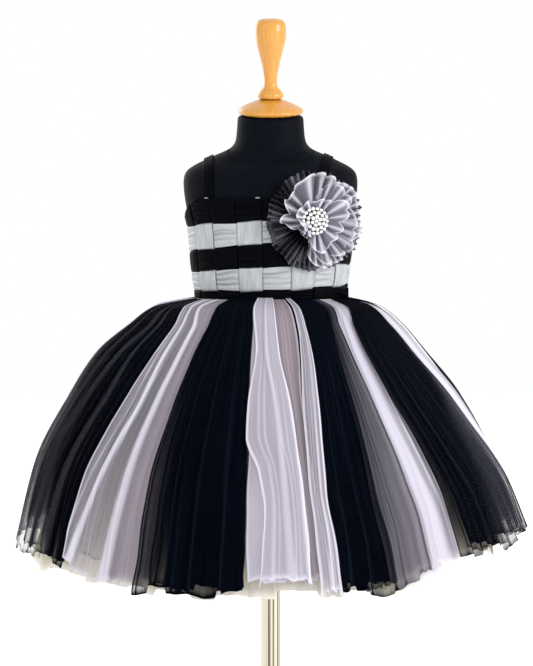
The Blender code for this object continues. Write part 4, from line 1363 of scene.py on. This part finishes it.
        # Along these lines the first black gore is one ply thick and lets the light through.
        thin = tuple(Fold(line, half, 0, weight, .0) for line, half, weight in (
            (((0, -66), (.1, -58), (.22, -60), (.55, -66), (.8, -66), (1, -65)), 3.2, -.98),
            (((0, -60), (.1, -52), (.3, -52), (.55, -55.5), (.8, -57), (1, -57.5)), 1.7, -.95),
            (((0, -74), (.2, -69), (.5, -74), (1, -77)), 3.0, -.97)))
        # The single ply over these lines is painted paler along them, a painted highlight for the
        # light that comes through.
        veil = tuple(Fold(fold.line, fold.half, 0, -.1, .8) for fold in thin)
        # A Fold's last number, where given, is how much painted highlight lies along it.
        plies = [
            Ply("gore_01_black_under", black, ((0, -84), (.3, -67), (1, -68)),
                moved(one_left, -2, -6), -.017, (.95, .95, .95, .93), .975, folds=thin),
            Ply("gore_01_black_inner", black, ((0, -88), (.3, -72), (.7, -73), (1, -74.5)),
                moved(one_left, -1, -3), -.013, (.55, .95, .6, .95), .985, folds=thin),
            Ply("gore_01_black_middle", black, ((0, -91), (.3, -80), (.7, -81), (1, -84)),
                moved(one_left, -1, -14), -.010, (.25, .6, .28, .6), .99, folds=thin),
            Ply("gore_01_black_outer", BLACK_VEIL, ((0, -92), (1, -97)),
                moved(one_left, -.5, -.5), -.001, (.18, .6, .18, .6), folds=veil, depth=.45),
            Ply("gore_02_grey_lining", taupe, moved(band_b, -2, -2.5),
                moved(two_left, 4, 3), -.006, (.97, .97, .95, .97), .975, 1.15, depth=.3),
            Ply("gore_02_grey_backing", black, moved(one_left, 1, 3),
                band_b, -.009, (.8, .8, .25, .15), .94, 1.15, depth=.4),
            Ply("gore_02_grey_outer", lilac, moved(one_left, -.8, -.6),
                moved(two_left, 2, 1.5), .001, (.36, .12, .4, .1), .99, 1.3,
                (Fold(band_a, 1.05, .003, 2.6, .65), Fold(band_b, 1.45, .003, 3.6, .65),
                 Fold(moved(band_a, -3, -3.4), .4, .001, .8, .4)), depth=.34),
            Ply("gore_03_black_under", black, moved(two_left, 8, 12),
                moved(two_right, -.4, -.4), -.002, (.97, .97, .97, .97), .972),
            Ply("gore_03_black_inner", black, moved(two_left, 4, 6.5),
                moved(two_right, -.2, -.2), .002, (.9, .95, .85, .95), .984),
            Ply("gore_03_black_middle", black, moved(two_left, 2, 3.4),
                moved(two_right, -6, -8), .004, (.6, .6, .45, .5), .978),
            Ply("gore_03_black_outer", black, two_left, two_right, .007, (.75, .7, .62, .8)),
            Ply("gore_04_grey_inner", lilac, moved(two_right, .2, .3),
                moved(slip, -9, 3.5), .001, (.85, .85, .88, .85), .96, 1.2,
                (Fold(((0, -5), (.36, -3), (.6, 0), (.73, .5)), .45, .001, .5, .8),), depth=.3),
            Ply("gore_04_grey_right", lilac, moved(slip, -2.4, .2), three_left, .009,
                (.22, .4, .45, .5), .995, 1.3,
                (Fold(moved(three_left, -1, -1.6), .4, .001, .6, .4),), edge=1.0, depth=.5),
            Ply("gore_04_grey_slip", taupe, moved(panel, -1, -1), moved(slip, -3.4, 2.5),
                .004, (.7, .35, .7, .6), .965, 1.2, depth=.4),
            Ply("gore_04_grey_outer", lilac, wave, panel, .012,
                (.5, .6, .42, .5), .965, 1.3, (Fold(moved(panel, -.4, -.5), .35, .001, .9, .6),
                                              Fold(moved(panel, -4.5, -4), .9, .002, .8, .25)),
                edge=1.0, depth=.26),
            Ply("gore_05_black_under", black, moved(slip, -5, 3),
                moved(three_dense, -4, -3), -.003, (.97, .97, .97, .95), .972),
            Ply("gore_05_black_inner", black, moved(slip, -4, 3.6),
                moved(three_dense, -1, -.5), .001, (.95, .9, .95, .85), .983),
            Ply("gore_05_black_middle", black, moved(three_left, 4, 5),
                moved(three_dense, .2, .6), .003, (.5, .4, .4, .3), .988),
            Ply("gore_05_black_outer", black, three_left, three_right, .006,
                (.8, .36, .72, .28), depth=.8),
            Ply("gore_06_grey_lining", taupe, moved(three_dense, -3, -3),
                moved(four_left, 3, 2), -.012, (.95, .95, .95, .95), .97, 1.15, depth=.3),
            Ply("gore_06_grey_outer", lilac, moved(three_dense, 0, 2),
                moved(four_left, 1, 1), -.004, (.55, .7, .5, .5), 1.0, 1.25,
                (Fold(bright, 2.5, .002, 1.8, .25), Fold(moved(bright, 5, 4), .5, .001, .8, .5)),
                depth=.4),
            Ply("gore_07_black_under", black, moved(four_left, 2, 6),
                moved(four_right, -7, -20), -.006, (.97, .95, .93, .35), .965),
            Ply("gore_07_black_inner", black, moved(four_left, 1, 4.5),
                moved(four_right, -3, -10), -.002, (.95, .85, .8, .35), .975),
            Ply("gore_07_black_middle", black, moved(four_left, .5, 2.5),
                moved(four_right, -1, -1), .001, (.6, .45, .4, .28), .985),
            # The wide fold of this ply has no rise and no weight: it only lays a painted highlight
            # on the ply.
            Ply("gore_07_black_outer", BLACK_VEIL, moved(four_left, -.5, -.5), four_right, .004,
                (.75, .66, .5, .45), depth=.8,
                folds=(Fold(((0, 95), (.2, 77), (.35, 70), (.5, 66.5), (.8, 69), (1, 72)),
                            11.0, 0, 0, .7),)),
            Ply("gore_08_grey_lining", lilac, moved(four_right, -5, -4),
                ((0, 107), (1, 110)), -.012, (.95, .95, .95, .95), .97, 1.15, depth=.3),
            Ply("gore_08_grey_outer", lilac, moved(four_right, -3, -2),
                ((0, 107), (1, 111)), -.005, (.8, .7, .7, .6), 1.0, 1.3,
                (Fold(moved(four_right, 8, 8), 6.0, .001, 1.5, .6),), depth=.4),
            Ply("gore_08_black_edge", black,
                ((0, 86), (.1, 85), (.2, 88), (.35, 94), (1, 104)),
                ((0, 92), (.2, 95), (.35, 102), (1, 110)), .004, (.8, .85, .6, .6), .97, depth=.4),
        ]
        for number, ply in enumerate(plies):
            ply.seed = 11 + number * 7
        return plies

    def back_plies(self) -> list[Ply]:
        """List the plies of the eight back gores, like the front ones but evenly wide.

        Returns:
            The plies.
        """
        plies, bends = [], (3, -2, 2, -3, 2.5, -1, 3, -2, 0)
        for number in range(8):
            dark = number % 2 == 0
            name = f"{number + 9:02d}_{'black' if dark else 'grey'}"
            waist, hem = 106 + number * 20.75, 108 + number * 20.0
            bend, after = bends[number:number + 2]
            left = ((0, waist - 1.5), (.3, waist - 1 + bend), (1, hem - 2.5))
            right = ((0, waist + 21.5), (.3, waist + 21.5 + after), (1, hem + 21.5))
            tucked = ((0, waist - .5), (.3, waist - .3 + bend), (1, hem - 1))
            tone = BLACK_TULLE if dark else LILAC_TULLE
            lift = .005 if dark else -.001
            # Each grey back gore has a pressed fold that also takes painted highlight.
            bright = (Fold(((0, waist + 8), (1, hem + 7)), 1.8, .003, 1.8),)
            plies.append(Ply(f"gore_{name}_outer", tone, left, right, lift,
                             (.6, .6, .5, .5) if dark else (.7, .6, .6, .5), seed=200 + number,
                             fine=False, folds=() if dark else bright))
            plies.append(Ply(f"gore_{name}_inner", tone if dark else TAUPE_TULLE, tucked, right,
                             lift - .006, (.9, .9, .85, .85) if dark else (.95,) * 4, .94, 1.2,
                             seed=230 + number, fine=False))
        return plies


@dataclass
class Flower:
    """The corsage: three ruffles of tulle gathered together, with a pearl brooch."""

    centre: tuple[float, float, float] = (.0520, -.0722, .7390)
    turn: float = math.radians(17)
    eye: float = .0030
    brooch_aside: float = -.0035
    bead: float = .0025
    pleat_points: int = 12
    rows: int = 26
    # Patches of a second colour at the dark net's rim: angle, half width in degrees, strength.
    pale: tuple[tuple[float, float, float], ...] = (
        (48, 18, .7), (84, 9, .4), (116, 9, .5), (172, 10, .3), (203, 8, .25), (243, 12, .4),
        (272, 10, .4), (305, 18, .7), (345, 16, .6))

    def axes(self) -> tuple[np.ndarray, np.ndarray, np.ndarray]:
        """Give the directions across, up and out of the flower."""
        out = np.array([math.sin(self.turn), -math.cos(self.turn), 0])
        up = np.array([0, 0, 1.0])
        return np.cross(up, out), up, out

    def place(self, x: np.ndarray, y: np.ndarray, z: np.ndarray) -> np.ndarray:
        """Give the points that lie x across, y up and z out from the flower's middle."""
        across, up, out = self.axes()
        return (np.array(self.centre) + x[..., None] * across + y[..., None] * up
                + z[..., None] * out)

    def build(self) -> None:
        """Build the ruffles and the brooch."""
        dark, pale, black, grey = CORSAGE_BLACK, CORSAGE_TULLE, "black_tulle", "grey_tulle"
        self.build_ruffle("flower_back_ruffle", dark, black, .0600, .0004, .0035, 52, .0022,
                          ((0, 1.0), (360, 1.0)), (.9, .62), 21)
        self.build_ruffle("flower_back_ruffle_second", dark, black, .0560, .0024, .0040, 40, .0022,
                          ((0, .9), (90, 1.0), (200, .97), (280, .9), (360, .9)), (.8, .45), 9,
                          node=False)
        self.build_ruffle("flower_back_ruffle_trim", pale, grey, .0605, .0036, .0050, 38, .0022,
                          ((0, 1.0), (25, .96), (45, 1.0), (70, .8), (100, .4), (245, .4),
                           (262, .8), (280, .97), (300, .95), (325, .8), (345, .98), (360, 1.0)),
                          (.45, .3), 5, node=False, scallop=.006, bunch=-.35)
        self.build_ruffle("flower_mid_ruffle", pale, grey, .0570, .0060, .0100, 17, .0044,
                          ((0, .80), (20, .86), (45, .86), (70, .96), (90, 1.0), (115, .93),
                           (140, .78), (152, .86), (165, .68), (180, .84), (195, .6), (212, .40),
                           (238, .36), (255, .55), (270, .78), (285, .9), (300, .84), (318, .98),
                           (340, .84), (360, .80)), (.42, .26), 8, scallop=.035, bunch=-.5)
        self.build_ruffle("flower_front_ruffle", pale, grey, .0400, .0070, .0135, 13, .0056,
                          ((0, .8), (30, 1.0), (55, .7), (90, .62), (130, .66), (165, .72),
                           (205, .5), (240, .5), (268, .92), (285, .98), (310, .74), (335, .7),
                           (360, .8)), (.6, .46), 14, scallop=.06, bunch=-.5)
        self.build_brooch()

    def build_ruffle(self, name: str, finish: Tulle, slot: str, radius: float, seat: float,
                     rise: float, pleats: int, depth: float, rim: Track,
                     cover: tuple[float, float], seed: int, node: bool = True,
                     scallop: float = .018, bunch: float = .35) -> None:
        """Gather one ring of tulle into pleats that open towards an uneven rim.

        Args:
            name: the solid's name.
            finish: its tulle.
            slot: the record's material slot.
            radius: how far it reaches.
            seat: how far out its middle sits.
            rise: how far its rim lifts from its middle.
            pleats: pleats round it.
            depth: how deep they are at the rim.
            rim: share of the radius reached at each angle.
            cover: how dense it is at the eye and at the rim.
            seed: start of its unevenness.
            node: whether it stands for a solid.
            scallop: how far the crests reach past the rim.
            bunch: how far the pleats lean together at their crests, or open out there below 0.
        """
        rng = np.random.default_rng(seed)
        turn = np.linspace(0, math.tau, pleats * self.pleat_points + 1)[None, :-1]
        out = np.linspace(0, 1, self.rows)[:, None]
        reach = smooth(*np.array(rim).T, np.degrees(turn) % 360)
        wobble = sum(np.sin(turn * n + rng.uniform(0, 6)) * rng.uniform(.5, 1) for n in (5, 8, 13))
        phase = (pleats * turn + 1.3 * np.sin(turn * 3 + rng.uniform(0, 6))
                 + .8 * np.sin(turn * 7 + rng.uniform(0, 6)) + out * 1.2 * np.sin(turn * 4 + seed))
        reach = reach * (1 + .022 * wobble) + scallop * np.sin(phase[-1:])
        wave = np.sin(phase) * (1 + .35 * np.sin(turn * 5 + rng.uniform(0, 6)))
        far = self.eye + (radius * reach - self.eye) * out
        lean = bunch * np.cos(phase) / pleats * out
        height = (seat + rise * out ** 1.3 * (1 + .25 * np.sin(turn * 2 + seed))
                  + depth * wave * out ** .7)
        height = np.maximum(height, seat * .4 - .001)
        sway = turn + lean * 1.4
        points = self.place(far * np.cos(sway), far * np.sin(sway), height)
        steep = np.cos(phase) ** 2
        crest = np.clip(np.sin(phase), 0, 1) ** 5
        veil = cover[0] + (cover[1] - cover[0]) * out ** .6
        rimmed = np.where(out > .965, 2.6, 1.0)
        # Painted highlight: the rim and the pleat crests take the lighter tone.
        glow = np.where(out > .95, .9, .8 * crest * out ** .5) + 0 * turn
        # On the dark ruffle the rim takes a paler tone in patches, brighter on the pleat crests as
        # painted highlight, with a faint painted highlight on every crest.
        if finish is CORSAGE_BLACK:
            patch = .04 + sum(power * np.exp(-((np.degrees(turn) - at) / wide) ** 2)
                              for at, wide, power in self.pale)
            glow = (patch * np.clip((out - .6) / .25, 0, 1) * (.62 + .38 * np.sin(phase))
                    + .07 * crest * out)
            glow = np.clip(glow, 0, .9)
        plies = (1 + .6 * steep + 1.8 * crest) * rimmed * (1 + .9 * (1 - out))
        solid = 1 - (1 - np.clip(veil, 0, .98)) ** plies
        flat = np.stack([turn * radius * 1.4 + 0 * out, out * radius + 0 * turn], -1)
        piece = cloth(name + "_tulle" if node else name, points, closed=True, flat=flat,
                      cover=solid, glow=glow)
        dress_up(piece, finish, slot, *((name,) if node else ()))

    def build_brooch(self) -> None:
        """Set pearl beads in rings over a dark dome."""
        dome = ring_stack("brooch_setting", [
            Ring(.0080, .0150, .0150), Ring(.0120, .0158, .0158), Ring(.0160, .0152, .0152),
            Ring(.0185, .0120, .0120), Ring(.0202, .0070, .0070), Ring(.0208, .0020, .0020)], 24, 1)
        x, y, z = corners(dome).T
        points = self.place(x + self.brooch_aside, y, z)
        dome.data.vertices.foreach_set("co", points.astype(np.float32).reshape(-1))
        dome.data.update()
        dress_up(dome, SETTING, "pearl", "brooch")
        deselect()
        bpy.ops.mesh.primitive_ico_sphere_add(subdivisions=3, radius=1, location=(0, 0, 0))
        bead = bpy.context.object
        bead.name = "brooch_pearls"
        single, beads, rng = corners(bead), [], np.random.default_rng(3)
        for ring, (radius, height, count) in enumerate(((.0000, .0217, 1), (.0051, .0212, 6),
                                                        (.0101, .0196, 12), (.0149, .0166, 18))):
            for number in range(count):
                turn = math.tau * number / count + ring * .35
                middle = (radius * math.cos(turn), radius * math.sin(turn), height)
                x, y, z = (single * self.bead * rng.uniform(.92, 1.06) + middle).T
                beads.append(self.place(x + self.brooch_aside, y, z))
        repeat_mesh(bead, beads, rounded=True)
        dress_up(bead, PEARL, "pearl")


@dataclass
class Studio:
    """Pale floor and backdrop, soft light and the camera at the photograph's angle."""

    eye: tuple[float, float, float] = (-.005, -2.5, .740)
    aim: tuple[float, float, float] = (-.005, 0, .599)
    lens: float = 108.1

    def build(self) -> None:
        """Build the backdrop, the lights and the camera."""
        scene = bpy.context.scene
        scene.view_settings.view_transform = "Standard"
        scene.cycles.transparent_max_bounces = 48
        self.build_backdrop()
        world = bpy.data.worlds.new("studio")
        scene.world = world
        world.use_nodes = True
        sky = world.node_tree.nodes["Background"]
        sky.inputs["Color"].default_value = linear("#ffffff")
        sky.inputs["Strength"].default_value = 1.0
        self.add_light("key", (2.3, -1.5, 1.3), 1.3, 48)
        self.add_light("fill", (-1.8, -2.2, 1.7), 1.8, 10)
        self.add_light("back_left", (-1.5, 1.8, 1.5), 1.6, 16)
        data = bpy.data.cameras.new("camera")
        data.lens = self.lens
        data.sensor_width = 36
        camera = bpy.data.objects.new("camera", data)
        camera.location = self.eye
        look = Vector(self.aim) - Vector(self.eye)
        camera.rotation_euler = look.to_track_quat("-Z", "Y").to_euler()
        scene.collection.objects.link(camera)
        scene.camera = camera

    def build_backdrop(self) -> None:
        """Lay a flat paper floor under the object."""
        deselect()
        bpy.ops.mesh.primitive_plane_add(size=12, location=(0, 0, 0))
        paper = bpy.context.object
        paper.name = "paper_sweep"
        paper.data.materials.append(PAPER.material())

    def add_light(self, name: str, place: tuple[float, float, float], size: float,
                  power: float) -> None:
        """Hang a square soft box that faces the dress.

        Args:
            name: its name.
            place: where it hangs.
            size: its side in metres.
            power: its power in watts.
        """
        data = bpy.data.lights.new(name, "AREA")
        data.size = size
        data.energy = power
        lamp = bpy.data.objects.new(name, data)
        lamp.location = place
        aim = Vector((0, 0, .6)) - Vector(place)
        lamp.rotation_euler = aim.to_track_quat("-Z", "Y").to_euler()
        bpy.context.scene.collection.objects.link(lamp)


def main() -> None:
    """Build the scene in order."""
    logging.basicConfig(level=logging.INFO, format="%(name)s: %(message)s")
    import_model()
    deselect()
    Studio().build()
    form = DressForm()
    form.build()
    Bodice(form).build()
    Skirt().build()
    Flower().build()
    deselect()


if __name__ == "__main__":
    main()
